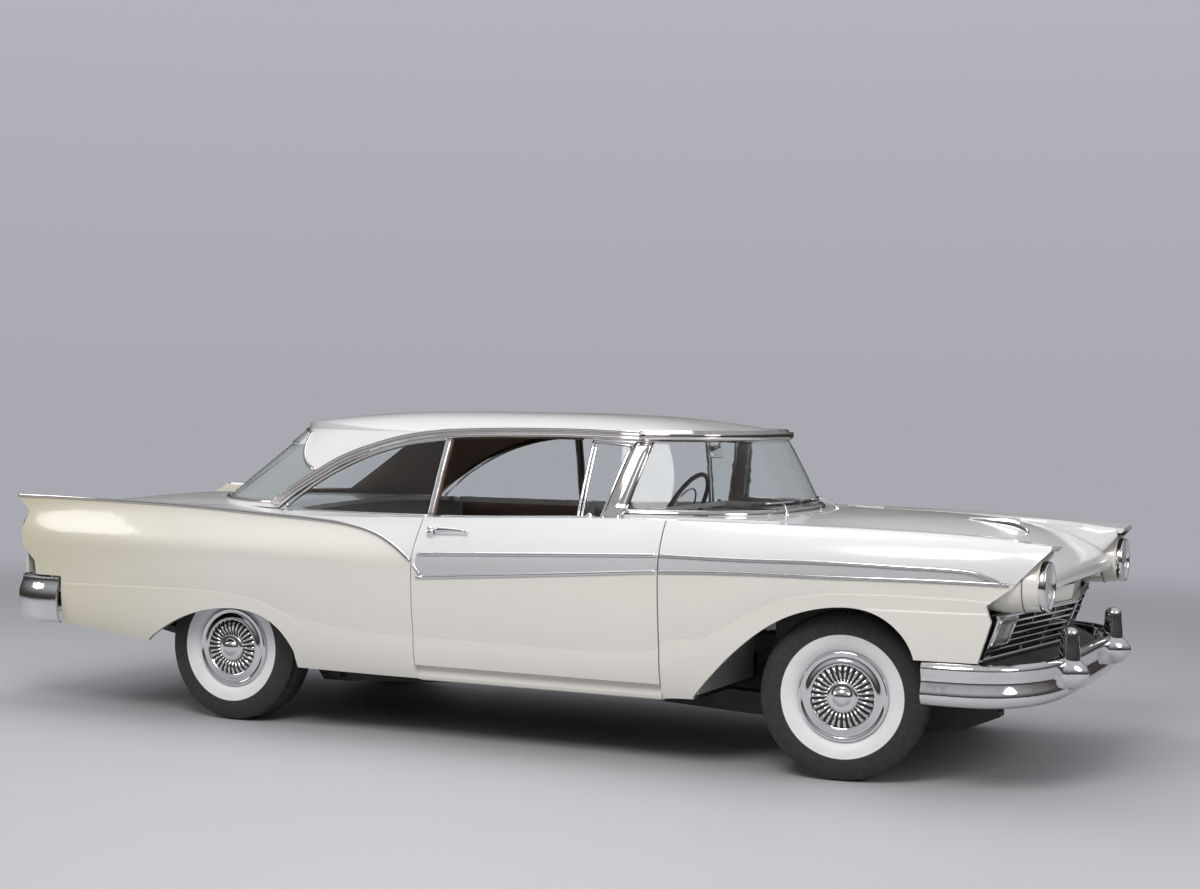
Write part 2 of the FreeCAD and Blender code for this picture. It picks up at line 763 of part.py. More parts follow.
def make_cowl():
    """The panel between hood and windshield, the firewall, and the posts that carry the doors."""
    post_x = FIREWALL - 456
    inner = DOOR_IN - GAP
    top = side_prism([(FIREWALL, COWL_Z - 30), (fore(-300), COWL_Z - 30), (fore(-300), COWL_Z - 2),
                      (FIREWALL - 60, COWL_Z + 2), (post_x, COWL_Z + 2), (post_x, COWL_Z - 20),
                      (FIREWALL - 60, COWL_Z - 30)], -HOOD_HALF - 60, HOOD_HALF + 60)
    start = DOOR_FRONT + GAP + 1
    end = fore(-300)
    top = top.common(plan_prism([(0, inner), (0, -inner), (start, -inner), (start, SEAT - fender_edge(start)),
                                 (end, SEAT - fender_edge(end)), (end, fender_edge(end) - SEAT),
                                 (start, fender_edge(start) - SEAT), (start, inner)]))
    top = top.cut(hood_plan(GAP))
    opening = Part.makeBox(430, 2 * DOGLEG_Y - 60, 200, Vector(FIREWALL - 450, -DOGLEG_Y + 30, COWL_Z - 90))
    top = top.cut(opening)
    wall = Part.makeBox(20, 2 * inner, COWL_Z - 20 - FLOOR_TOP, Vector(FIREWALL - 20, -inner, FLOOR_TOP))
    post = side_prism([(post_x, COWL_Z + 2), (FIREWALL - 8, COWL_Z + 2), (FIREWALL - 8, FLOOR_TOP),
                       (JAMB - 20, FLOOR_TOP), (JAMB - 40, 880), (JAMB - 130, 962), (post_x, 990)],
                      DOGLEG_Y, inner)
    jamb = side_core(DOOR_FRONT + GAP + 20, FIREWALL, 420, COWL_Z - 60)
    hinges = [Part.makeBox(60, 60, 80, Vector(DOOR_FRONT - 20, 790, z)) for z in (470, 820)]
    blocks = [block.cut(door.translated(Vector(SEAT, 0, 0))) for block in hinges]
    shell = top.fuse([wall, post, flipped(post), jamb, flipped(jamb)] + blocks + [flipped(b) for b in blocks])
    return shell.cut([tunnel_room(0.0), fender, flipped(fender)]).removeSplitter()


node(feature("cowl", make_cowl()), "cowl")

LID_FRONT = aft(-573) - GAP
LID_HALF = float(S["deck_half_width"]) - GAP
LID_LOW = 742.0


def lid_top(y):
    share = abs(y) / LID_HALF
    crown = float(S["deck_crown"]) * (1 - share * share)
    return [(LID_FRONT, DECK_Z - 0.5 + crown), (aft(-780), DECK_Z - 6 + crown),
            (aft(-960), DECK_Z - 22 + crown * 0.8), (aft(-1110), DECK_Z - 58 + crown * 0.5),
            (aft(-1168), 890.0), (aft(-1176), 800.0), (aft(-1172), LID_LOW)]


def make_lid():
    depth = float(S["lid_thickness"])
    inward = [(0, -depth)] * 3 + [(8, -depth), (20, -10), (depth, 0), (depth, 0)]
    places = [LID_HALF * share for share in (-1, -0.6, -0.2, 0.2, 0.6, 1)]
    return Part.makeLoft([long_profile(y, lid_top(y), inward) for y in places], True, False)


node(feature("trunk_lid", make_lid()), "trunk_lid")


# Floor and sills

def make_floor():
    """The floor pan with its tunnel, the sills at its edges and the trunk floor behind."""
    half = DOOR_IN - GAP
    skin = float(S["floor_thickness"])
    front = Part.makeBox(FIREWALL + 900, 2 * half, skin, Vector(-900, -half, FLOOR_Z))
    heel = Part.makeBox(18, 2 * half - 20, 230, Vector(-900, -half + 10, FLOOR_Z))
    rear_z = FLOOR_Z + 230
    rear = Part.makeBox(aft(-1150) * -1 - 882, 2 * 560, 16, Vector(aft(-1150), -560, rear_z))
    tunnel = Part.makeBox(FIREWALL + 882, 2 * float(S["tunnel_half"]), float(S["tunnel_height"]),
                          Vector(-900, -float(S["tunnel_half"]), FLOOR_TOP))
    sill_top = SILL_Z + float(S["sill_height"])
    section = [(half, FLOOR_Z), (SILL_Y - 40, FLOOR_Z), (SILL_Y - 8, SILL_Z - 2), (SILL_Y - 3, SILL_Z + 12),
               (SILL_Y - 6, sill_top), (half, sill_top)]
    corners = [Vector(DOOR_REAR - 100, y, z) for y, z in section]
    sill_way = Vector(DOOR_FRONT + GAP - DOOR_REAR + 100, 0, 0)
    sill = extruded(Part.Face(Part.makePolygon(corners + corners[:1])), sill_way)
    sill = sill.common(plan_prism(rear_wall_plan(SEAT - GAP, DOOR_FRONT + 200)))
    pan = front.fuse([heel, rear, tunnel, sill, flipped(sill)])
    return pan.cut(tunnel_room(-skin)).removeSplitter()


node(feature("floor_pan", make_floor()), "floor_pan")


# Running gear

def make_tyre(name, x, y, rotation):
    half = S["tyre_width"] / 2
    radius = S["tyre_radius"]
    rim = S["rim_radius"]
    wall = radius - rim
    flank = [(0.72, rim), (0.90, rim + wall * 0.14), (0.98, rim + wall * 0.32), (1.0, rim + wall * 0.52),
             (0.97, rim + wall * 0.72), (0.88, radius - 19), (0.80, radius - 7), (0.62, radius - 2),
             (0.25, radius)]
    points = [(-half * share, reach) for share, reach in flank]
    points += [(half * share, reach) for share, reach in reversed(flank)]
    return turned(name, points, (x, y, S["axle_height"]), rotation)


def make_wheel(name, x, y, rotation, outward):
    """The rim with its disc and the domed cover; outward is 1 where the cover faces +Y."""
    half = S["tyre_width"] / 2
    rim = S["rim_radius"] - 0.3
    wall = S["rim_wall"]
    cap = S["hub_cap_radius"]
    hub = S["spindle_radius"] + 0.5
    face = half * 0.66
    points = [(-half * 0.74, rim), (half * 0.74, rim), (half * 0.74, cap), (face + 14, cap * 0.94),
              (face + 26, cap * 0.70), (face + 30, cap * 0.38), (face + 48, cap * 0.30), (face + 56, 0),
              (face - 30, 0), (face - 30, hub + 70), (face - 30, rim - wall - 16), (-half * 0.74, rim - wall)]
    if outward < 0:
        points = [(-y, z) for y, z in points]
    return turned(name, points, (x, y, S["axle_height"]), rotation)


STEER = Rotation(Vector(0, 0, 1), float(S["steer_angle"]))
half_front = S["front_track"] / 2
half_rear = S["rear_track"] / 2
inset = S["kingpin_inset"]
cos_steer = math.cos(math.radians(float(S["steer_angle"])))
sin_steer = math.sin(math.radians(float(S["steer_angle"])))

for side, hand in (("right", -1.0), ("left", 1.0)):
    kingpin_y = (half_front - inset) * hand
    wheel_x = S["front_axle_x"] - inset * hand * sin_steer
    wheel_y = kingpin_y + inset * hand * cos_steer
    node(make_tyre("front_tyre_" + side, wheel_x, wheel_y, STEER), "front_tyre_" + side)
    node(make_wheel("front_wheel_" + side, wheel_x, wheel_y, STEER, hand), "front_wheel_" + side)
    node(make_tyre("rear_tyre_" + side, rear_axle_x, half_rear * hand, UP), "rear_tyre_" + side)
    node(make_wheel("rear_wheel_" + side, rear_axle_x, half_rear * hand, UP, hand), "rear_wheel_" + side)
    pin = rod("kingpin_" + side, (S["front_axle_x"], kingpin_y, S["axle_height"] - 95),
              S["kingpin_radius"] + 8, 190)
    spindle_length = inset + S["tyre_width"] * 0.33 - 30.3
    turn = STEER.multiply(ALONG_Y if hand > 0 else Rotation(Vector(1, 0, 0), 90))
    spindle = rod("spindle_" + side, (S["front_axle_x"], kingpin_y, S["axle_height"]), S["spindle_radius"],
                  spindle_length, turn)
    plate = rod("backing_plate_" + side, (S["front_axle_x"], kingpin_y, S["axle_height"]), 90, 12, turn)
    node(fused("knuckle_" + side, [pin, spindle, plate]), "knuckle_" + side)

# Rear axle with its differential and leaf springs

axle_reach = half_rear + S["tyre_width"] * 0.33 - 30.3
tube = rod("axle_tube", (rear_axle_x, -axle_reach, S["axle_height"]), S["axle_tube_radius"],
           axle_reach * 2, ALONG_Y)
carrier = doc.addObject("Part::Sphere", "carrier")
bind(carrier, Radius=135)
place(carrier, rear_axle_x, 0, S["axle_height"])
RAIL_OUT = TYRE_INNER - float(S["rear_rail_to_tyre"])
UNDER_AXLE = AXLE_Z - float(S["axle_tube_radius"])
leaf = side_prism([(aft(425), 200), (aft(425), 232), (aft(150), UNDER_AXLE), (aft(0), UNDER_AXLE + 4),
                   (aft(-150), UNDER_AXLE), (aft(-640), 400), (aft(-640), 368), (aft(-150), UNDER_AXLE - 30),
                   (aft(150), UNDER_AXLE - 30)], RAIL_OUT + SEAT, RAIL_OUT + 60)
springs = feature("leaf_springs", Part.makeCompound([leaf, flipped(leaf)]))
node(fused("rear_axle_assembly", [tube, carrier, springs]), "rear_axle")


# Front end

NOSE_X = fore(548)
LAMP_Y = float(S["lamp_y"])
LAMP_Z = float(S["lamp_z"])
GRILLE_LOW = float(S["grille_low"])
GRILLE_TOP = float(S["grille_top"])
GRILLE_HALF = float(S["grille_half_width"])
VALANCE_HALF = 650
HOOD_HINGE_X = fore(762)
HOOD_BARREL = 8.2


def grille_x(y, z):
    """The grille's face: a prow in plan that leans forward as it rises."""
    return blend(fore(716), fore(588), abs(y) / GRILLE_HALF) + (z - GRILLE_LOW) * 0.38


def on_face(y0, y1, section):
    """A bar on the grille's sloping face from y0 to y1, with a section of (height, ahead of the face)."""
    wires = []
    for y in (y0, y1):
        corners = [Vector(grille_x(y, z) + ahead, y, z) for z, ahead in section]
        wires.append(Part.makePolygon(corners + corners[:1]))
    return Part.makeLoft(wires, True, True)


def make_nose():
    """The panel behind the grille and the lamps, with the valance between hood lip and grille."""
    wing = side_core(NOSE_X - 12, NOSE_X, 560, 960, 480)
    middle = Part.makeBox(12, 962, 380, Vector(NOSE_X - 12, -481, 560))
    low = GRILLE_TOP + 12
    high = LIP_Z - 3 * GAP
    valance = on_face(0, VALANCE_HALF, [(low, -26), (high, -40), (high, -50), (low, -36)])
    rib_end = grille_x(VALANCE_HALF, low) - 30
    rib = Part.makeBox(rib_end - NOSE_X + 6, 10, high - low, Vector(NOSE_X - 6, VALANCE_HALF - 10, low))
    panel = middle.fuse([wing, flipped(wing)]).cut(hood_underside())
    barrel = Part.makeCylinder(HOOD_BARREL, 80, Vector(HOOD_HINGE_X, 500, LIP_Z - GAP), Vector(0, 1, 0))
    arm = Part.makeBox(HOOD_HINGE_X - 2386, 80, 14, Vector(2386, 500, high - 8))
    halves = [valance, rib, barrel, arm]
    return panel.fuse(halves + [flipped(part) for part in halves]).removeSplitter()


def hood_underside():
    """Everything above a line that runs well below the hood."""
    return side_prism([(fore(0), 935), (fore(420), 930), (fore(560), 905), (fore(700), 840), (fore(900), 700),
                       (fore(900), 1300), (fore(0), 1300)], -hood_edge(NOSE_X) - 5, hood_edge(NOSE_X) + 5)


node(feature("nose_panel", make_nose()), "nose_panel")


def lamp_profile(x0, x1, radius, sink):
    """A lamp pod turned about X: a round pod that narrows to its rim, with a domed lens inside it."""
    points = [(x0, 0), (x0, radius * 0.88), (x0 + 40, radius * 1.03), (x0 + 90, radius * 1.12),
              (x0 + 150, radius * 1.13), (x1 - 80, radius * 1.08), (x1 - 40, radius * 1.03),
              (x1 - 12, radius), (x1, radius * 0.97), (x1 - 3, radius * 0.89), (x1 - sink, radius * 0.84),
              (x1 - sink + 9, radius * 0.66), (x1 - sink + 16, radius * 0.36), (x1 - sink + 19, 0)]
    return points


def turned_x(name, points, x, y, z):
    """A body turned about an axis along X; each point is a distance along X and a radius."""
    body = doc.addObject("PartDesign::Body", name)
    sketch = outline_sketch(body, name + "_profile", "XZ_Plane", points)
    turn = body.newObject("PartDesign::Revolution", name + "_turn")
    turn.Profile = sketch
    turn.ReferenceAxis = (sketch, ["H_Axis"])
    turn.Angle = 360
    body.Tip = turn
    return place(body, x, y, z)


lamp_length = S["lamp_reach"]
lamps = []
fenders = feature("fender_pair", Part.makeCompound([fender, flipped(fender)]))
for side, hand in (("right", -1.0), ("left", 1.0)):
    start = S["front_axle_x"] + 548.3
    profile = lamp_profile(0.0, lamp_length, S["lamp_radius"], 26)
    pod = turned_x("headlamp_" + side, profile, start, S["lamp_y"] * hand, S["lamp_z"])
    lamps.append(cut("headlamp_%s_fitted" % side, pod, fenders))
node(together("headlamp_pair", lamps), "headlamps")

PARKING_Y = float(S["parking_lamp_inner"])


def rounded_section(low, high, ahead, behind):
    """The section of a bar with a rounded face: points of (height, ahead of the grille's face)."""
    ease = min(5.0, 0.3 * (high - low))
    return [(low, -behind), (low, ahead - ease), (low + ease, ahead), (high - ease, ahead),
            (high, ahead - ease), (high, -behind)]


def make_grille():
    """One half of the grille, doubled: frame, thin bars and posts, the prow and a parking lamp's housing."""
    height = float(S["bar_height"])
    bars = int(round(float(S["grille_bars"])))
    posts = int(round(float(S["grille_posts"])))
    end = GRILLE_HALF - 12
    step = (GRILLE_TOP - GRILLE_LOW) / (bars + 1)
    pieces = []
    for index in range(bars):
        z = GRILLE_LOW + step * (index + 1)
        pieces.append(on_face(0, end, rounded_section(z - height / 2, z + height / 2, 0, 14)))
    for index in range(posts):
        y = PARKING_Y * (index + 1) / (posts + 1)
        pieces.append(on_face(y - 2.5, y + 2.5, [(GRILLE_LOW, -12), (GRILLE_LOW, -4), (GRILLE_TOP, -4),
                                                 (GRILLE_TOP, -12)]))
    pieces.append(on_face(0, 12, rounded_section(GRILLE_LOW, GRILLE_TOP, 6, 14)))
    pieces.append(on_face(end, GRILLE_HALF, rounded_section(GRILLE_LOW - 14, GRILLE_TOP + 10, 6, 30)))
    pieces.append(on_face(0, GRILLE_HALF, rounded_section(GRILLE_TOP - 4, GRILLE_TOP + 10, 8, 34)))
    lamp_low = GRILLE_LOW + step * 1.5
    pieces.append(on_face(PARKING_Y, end, rounded_section(lamp_low, GRILLE_TOP, 10, 46)))
    bar_back = grille_x(430, GRILLE_TOP) - 24
    pieces.append(Part.makeBox(bar_back - NOSE_X - SEAT, 60, 12, Vector(NOSE_X + SEAT, 400, GRILLE_TOP - 3)))
    bottom = on_face(0, GRILLE_HALF, rounded_section(GRILLE_LOW - 14, GRILLE_LOW + 4, 8, 34))
    lens_room = on_face(PARKING_Y + 12, end - 12, [(lamp_low + 12, -8), (lamp_low + 12, 40),
                                                   (GRILLE_TOP - 12, 40), (GRILLE_TOP - 12, -8)])
    left = bottom.fuse(pieces).cut(lens_room)
    return left.fuse(flipped(left)).removeSplitter()


node(feature("grille", make_grille()), "grille")


# Bumpers, each a lofted bar that wraps round the corners of the body

def crescent(points, depth, z, outset):
    """A bar seen from above at one height: a smooth outer line and an inner one behind it."""
    outer = Part.BSplineCurve()
    inner = Part.BSplineCurve()
    scale_x = 1.0 if points[0][0] > 0 else -1.0
    full = points + [(x, -y) for x, y in reversed(points[:-1])]
    outward = []
    inward = []
    for index, (x, y) in enumerate(full):
        before = full[max(0, index - 1)]
        after = full[min(len(full) - 1, index + 1)]
        tangent = Vector(after[0] - before[0], after[1] - before[1], 0)
        normal = Vector(tangent.y, -tangent.x, 0)
        normal.normalize()
        if normal.x * scale_x < -0.01 or (abs(normal.x) < 0.3 and normal.y * y < 0):
            normal = normal * -1
        outward.append(Vector(x, y, z) + normal * outset)
        inward.append(Vector(x, y, z) + normal * (outset - depth))
    outer.interpolate(outward)
    inner.interpolate(inward)
    return Part.Wire([outer.toShape(), Part.makeLine(outward[-1], inward[-1]), inner.toShape(),
                      Part.makeLine(inward[0], outward[0])])


FRONT_BAR = [(fore(372), 938), (fore(520), 936), (fore(660), 893), (fore(770), 770), (fore(834), 560),
             (fore(852), 300), (fore(856), 0)]
REAR_BAR = [(aft(-940), 932), (aft(-1080), 930), (aft(-1210), 880), (aft(-1290), 740), (aft(-1322), 450),
            (aft(-1328), 0)]


def bumper(points, levels):
    return Part.makeLoft([crescent(points, 16, z, outset) for z, outset in levels], True, False)


def spun(base, way, points):
    """A smooth shape turned about an axis; each point is a distance along it and a radius."""
    side = Vector(0, 1, 0)
    line = Part.BSplineCurve()
    places = [base + way * along + side * radius for along, radius in points]
    line.interpolate(places)
    start = base + way * points[0][0]
    end = base + way * points[-1][0]
    edges = [line.toShape()]
    if points[-1][1] > 0:
        edges.append(Part.makeLine(places[-1], end))
    edges.append(Part.makeLine(end, start))
    if points[0][1] > 0:
        edges.append(Part.makeLine(start, places[0]))
    solid = Part.Face(Part.Wire(edges)).revolve(base, way, 360)
    if solid.Volume < 0:
        solid.reverse()
    return solid


def guard_post(x, y, z, radius, height):
    """An upright guard that narrows to a rounded cap."""
    return spun(Vector(x, y, z), Vector(0, 0, 1),
                [(0, radius), (height * 0.35, radius * 0.9), (height * 0.8, radius * 0.76),
                 (height * 0.92, radius * 0.68), (height * 0.985, radius * 0.4), (height, 0)])


def guard_bullet(tip, y, z, radius):
    """The pointed boss at a guard's foot, with its tip forward."""
    return spun(Vector(tip, y, z), Vector(-1, 0, 0),
                [(0, 0), (4, radius * 0.2), (16, radius * 0.44), (38, radius * 0.72), (70, radius * 0.94),
                 (105, radius), (140, radius * 0.93)])


GUARD_Y = float(S["guard_y"])
GUARD_R = float(S["guard_radius"])


def bracket(x0, x1, y, z, height=50):
    return Part.makeBox(x1 - x0, 8, height, Vector(x0, y, z))


def make_front_bumper():
    bar = bumper(FRONT_BAR, [(350, -28), (362, -6), (385, 8), (415, 5), (450, -6), (482, 2), (504, 4),
                             (522, -14)])
    guards = [guard_bullet(FRONT_END, hand * GUARD_Y, 456, GUARD_R) for hand in (-1, 1)]
    post = float(S["post_radius"])
    guards += [guard_post(FRONT_END - 82, hand * GUARD_Y, 462, post, 178) for hand in (-1, 1)]
    arms = [bracket(fore(640) + SEAT, fore(840), hand * 380 - 4, 375) for hand in (-1, 1)]
    return bar.fuse(guards + arms).removeSplitter()


def make_rear_bumper():
    bar = bumper(REAR_BAR, [(412, -24), (455, 0), (520, 6), (570, 0), (600, -10), (632, -14)])
    guards = [guard_post(REAR_END + 50, hand * 330, 440, 50, 190) for hand in (-1, 1)]
    arms = [bracket(aft(-1298), aft(-1120) - SEAT, hand * 430 - 4, 385) for hand in (-1, 1)]
    return bar.fuse(guards + arms).removeSplitter()


node(feature("front_bumper", make_front_bumper()), "front_bumper")
node(feature("rear_bumper", make_rear_bumper()), "rear_bumper")


# Rear end

def make_rear_panel():
    """The panel across the tail, below the lid, with a wing behind each tail lamp."""
    x0 = aft(-1165)
    wing = side_loft(thick_section, x0 - 10, x0, deck_edge, SKIN + SEAT)
    wing = wing.common(Part.makeBox(10, 1200, 400, Vector(x0 - 10, 0, 648)))
    half = deck_edge(x0)
    middle = Part.makeBox(10, 2 * half, 200, Vector(x0 - 10, -half, 530))
    panel = middle.fuse([wing, flipped(wing)]).cut([lid_room(), quarter, flipped(quarter)])
    striker = Part.makeBox(24, 120, LID_LOW - SEAT - 722, Vector(x0 - 10, -60, 722))
    return panel.fuse(striker).removeSplitter()


def lid_room():
    """The room that the trunk lid needs, with its gap."""
    return Part.makeBox(900, 2 * LID_HALF + 2 * GAP, 700, Vector(aft(-1300), -LID_HALF - GAP, LID_LOW - GAP))


node(feature("rear_panel", make_rear_panel()), "rear_panel")

lamps = []
for side, hand in (("right", -1.0), ("left", 1.0)):
    radius = S["tail_lamp_radius"]
    profile = [(-66.0, 0), (-60.0, radius * 0.42), (-44.0, radius * 0.72), (-20.0, radius * 0.94),
               (-8.0, radius), (0, radius), (0, 0)]
    lamp_x = rear_axle_x - 1175.3
    lamps.append(turned_x("tail_lamp_" + side, profile, lamp_x, S["tail_lamp_y"] * hand, S["tail_lamp_z"]))
node(together("tail_lamp_pair", lamps), "tail_lamps")


# Glass in the sides

def side_glass(outline, seat):
    """A pane of the dome inside an outline in side view, cut to stand on the body's top edge."""
    pane = glass_shell.common(side_hole()).common(side_prism(outline, 300, 1200)).cut(seat)
    return max(pane.Solids, key=lambda solid: solid.BoundBox.ZMax)


VENT_BACK = DOOR_FRONT - 470
quarter_back = DOOR_REAR - GAP - 2
quarter_pane = side_glass([(-1200, 990), (-1200, 1420), (quarter_back + 20, 1420), (quarter_back, 990)],
                          quarter)
vent_pane = side_glass([(VENT_BACK, 990), (VENT_BACK + 22, 1357), (694, 1340), (686, 1310), (600, 1010),
                        (600, 990)], door)
rear_pane = glass_shell.common(rear_hole()).cut(deck)
node(feature("rear_panes", Part.makeCompound([rear_pane, quarter_pane, flipped(quarter_pane)])), "rear_glass")
both("vent_window", vent_pane)


# Cabin

SEAT_HALF = S["seat_half_width"] - 14
floor_top = S["floor_z"] + S["floor_thickness"]
low = floor_top + SEAT
seat_top = S["seat_top"]
over_tunnel = feature("over_tunnel", tunnel_room(SEAT))
bench = padded("front_bench", [(-20, low), (440, low), (470, seat_top - 40), (440, seat_top),
                               (60, seat_top - 30), (-60, seat_top + 330), (-150, seat_top + 330),
                               (-140, low)], SEAT_HALF)
node(cut("front_bench_cut", bench, over_tunnel), "front_seat")
rear_low = S["floor_z"] + 230 + 16 + SEAT
rear_seat = padded("rear_bench", [(-870, rear_low), (-480, low), (-440, seat_top - 30), (-480, seat_top + 5),
                                  (-800, seat_top - 20), (-930, seat_top + 300), (-975, seat_top + 300),
                                  (-975, rear_low)], SEAT_HALF - 60)
node(cut("rear_bench_cut", rear_seat, over_tunnel), "rear_seat")
dash = padded("dashboard_body", [(600, COWL_Z - 34), (FIREWALL - 62, COWL_Z - 31), (FIREWALL - 62, 840),
                                 (FIREWALL - 150, 770), (700, 790), (650, 900), (596, 985)],
              S["door_inner_y"] - S["panel_gap"] - 70.3)
node(dash, "dashboard")

TILT = float(S["column_tilt"])
WHEEL_X = float(S["steering_x"])
WHEEL_Z = float(S["steering_z"])
ALONG_COLUMN = Rotation(Vector(0, 1, 0), 90 + TILT)
column_way = Vector(math.cos(math.radians(TILT)), 0, -math.sin(math.radians(TILT)))
steering_y = S["steering_y"]


def on_column(distance):
    """A place on the column's axis, ahead of the steering wheel's centre."""
    return (WHEEL_X + column_way.x * distance, steering_y, WHEEL_Z + column_way.z * distance)


rim = doc.addObject("Part::Torus", "steering_rim")
bind(rim, Radius1=S["steering_radius"], Radius2=S["steering_grip"])
place(rim, *on_column(0), ALONG_COLUMN)
hub = rod("steering_hub", on_column(-8), 38, 60, ALONG_COLUMN)
spokes = []
for index, turn in enumerate((0, 180)):
    way = ALONG_COLUMN.multiply(Rotation(Vector(0, 0, 1), 90 + turn)).multiply(ALONG_X)
    spokes.append(rod("steering_spoke_%d" % index, on_column(12), 8, S["steering_radius"] - 2, way))
node(fused("steering_wheel", [rim, hub] + spokes), "steering_wheel")
column = rod("column_tube", on_column(52.3), S["column_radius"], 200, ALONG_COLUMN)
node(cut("column_trimmed", column, dash), "steering_column")


# Frame and running gear below

RAIL_Z = float(S["rail_z"])
RAIL_W = float(S["rail_width"])
RAIL_H = float(S["rail_height"])


def make_frame():
    """A crossed frame: front rails, a narrow centre and rear rails that rise over the axle."""
    front_y = float(S["front_rail_y"])
    outer = [(fore(560), front_y), (fore(-500), front_y), (200, 150), (-150, 150), (aft(420), RAIL_OUT),
             (aft(420) - 60, RAIL_OUT)]
    inner = [(x, y - RAIL_W) for x, y in outer]
    rail = plan_prism(outer + inner[::-1], RAIL_Z, RAIL_Z + RAIL_H)
    kick = side_prism([(aft(420), RAIL_Z), (aft(420), RAIL_Z + RAIL_H), (aft(380), RAIL_Z + RAIL_H),
                       (aft(230), 420), (aft(150), 490), (aft(-200), 490), (aft(-420), 440),
                       (aft(-1120), 440), (aft(-1120), 360), (aft(-380), 360), (aft(-180), 405),
                       (aft(120), 405), (aft(300), RAIL_Z)], RAIL_OUT - RAIL_W, RAIL_OUT)
    horn = side_prism([(fore(440), RAIL_Z), (fore(440), RAIL_Z + RAIL_H), (fore(540), 430), (fore(640), 430),
                       (fore(640), 350), (fore(580), 350), (fore(520), RAIL_Z)], front_y - RAIL_W, front_y)
    cross = [Part.makeBox(90, 2 * front_y - 10, RAIL_H, Vector(x, 5 - front_y, RAIL_Z))
             for x in (fore(300), fore(-45))]
    middle = Part.makeBox(350, 300, RAIL_H, Vector(-150, -150, RAIL_Z))
    tail = Part.makeBox(70, 2 * RAIL_OUT - 20, 70, Vector(aft(-1120), 10 - RAIL_OUT, 365))
    pads = [Part.makeBox(350, 40, FLOOR_Z - SEAT - RAIL_Z - RAIL_H, Vector(-150, y, RAIL_Z + RAIL_H))
            for y in (-150, 110)]
    below_ends = side_prism([(fore(390), RAIL_Z - 1), (fore(580), RAIL_Z + RAIL_H * 0.85),
                             (fore(580), RAIL_Z - 1)])
    rails = rail.fuse([flipped(rail), kick, flipped(kick), horn, flipped(horn), middle, tail] + cross + pads)
    return rails.cut(below_ends).removeSplitter()


node(feature("frame", make_frame()), "frame")
engine = box("engine_body", (S["front_axle_x"] - 480, -260.0, S["rail_z"] + S["rail_height"] + 0.3),
             (S["front_axle_x"] + 260, 260.0, 880.0))
node(engine, "engine_block")


def make_driveline():
    """The gearbox behind the engine and the shaft to the rear axle, above the frame's middle."""
    gearbox = Part.makeBox(150, 180, 190, Vector(fore(-480.3) - 150, -90, RAIL_Z + RAIL_H + 25))
    start = Vector(fore(-600), 0, 318)
    end = Vector(aft(137), 0, AXLE_Z)
    shaft = Part.makeCylinder(float(S["shaft_radius"]), (end - start).Length, start, end - start)
    return gearbox.fuse(shaft).removeSplitter()


node(feature("driveline", make_driveline()), "driveline")


def make_suspension():
    """Lower and upper arms with a coil between them, which hold the kingpin above and below."""
    front_y = float(S["front_rail_y"])
    pin_y = float(half_front) - float(inset)
    pin_inner = pin_y - float(S["kingpin_radius"]) - 8
    coil_y = (front_y + pin_inner) / 2
    low_z = AXLE_Z - 95 - SEAT
    high_z = AXLE_Z + 95 + SEAT
    lower = plan_prism([(fore(-120), front_y + SEAT), (fore(120), front_y + SEAT), (fore(34), pin_y + 20),
                        (fore(-34), pin_y + 20)], low_z - 26, low_z)
    upper = plan_prism([(fore(-90), coil_y - 40), (fore(90), coil_y - 40), (fore(30), pin_y + 20),
                        (fore(-30), pin_y + 20)], high_z, high_z + 20)
    coil = Part.makeCylinder(52, high_z + 90 - low_z, Vector(FRONT_AXLE, coil_y, low_z - 10))
    return coil.fuse([lower, upper]).removeSplitter()


arms = make_suspension()
node(feature("suspension_arms", Part.makeCompound([arms, flipped(arms)])), "front_suspension")


def pipe(points, radius):
    """A round pipe through points, with a ball at each bend."""
    pieces = []
    for start, end in zip(points, points[1:]):
        pieces.append(Part.makeCylinder(radius, (end - start).Length, start, end - start))
    pieces += [Part.makeSphere(radius, bend) for bend in points[1:-1]]
    return pieces[0].fuse(pieces[1:])


def make_exhaust():
    """A pipe with its silencer, from the engine, under the floor and over the axle to the tail."""
    radius = float(S["exhaust_radius"])
    run_z = FLOOR_Z - 60
    tail_y = TYRE_INNER - float(S["pipe_to_tyre"]) - radius
    run = pipe([Vector(fore(-400), 287, 520), Vector(fore(-500), 520, run_z), Vector(-925, tail_y, run_z),
                Vector(aft(229), tail_y, 425), Vector(aft(-1080), tail_y, 430),
                Vector(aft(-1200), tail_y, 392)], radius)
    can = Part.makeCylinder(54, 520, Vector(-380, blend(520, tail_y, 0.42), run_z), Vector(1, 0, 0))
    hangers = [Part.makeBox(20, 30, FLOOR_Z - SEAT - run_z, Vector(x, 530, run_z)) for x in (-560, 400)]
    return run.fuse([can] + hangers).removeSplitter()


node(feature("exhaust", make_exhaust()), "exhaust")
tank = box("tank_body", (rear_axle_x - 1049.7, -360.0, S["floor_z"] + 70),
           (rear_axle_x - 480, 360.0, S["floor_z"] + 229.7))
node(tank, "fuel_tank")




# Checks, then one file for each piece

doc.recompute()
for obj in doc.Objects:
    if "Invalid" in obj.State or "Error" in obj.State:
        raise RuntimeError("%s failed: %s" % (obj.Label, obj.State))
os.makedirs("parts", exist_ok=True)
for obj in NODES:
    if obj.Shape.isNull() or not obj.Shape.isValid() or not obj.Shape.Solids:
        raise RuntimeError("%s has no sound shape" % obj.Label)
for obj in NODES:
    obj.Shape.exportStep("parts/%s.step" % obj.Label)
print("pieces:", len(NODES))
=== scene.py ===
import math

import bpy
import bmesh
from mathutils import Matrix, Vector
from mathutils.bvhtree import BVHTree


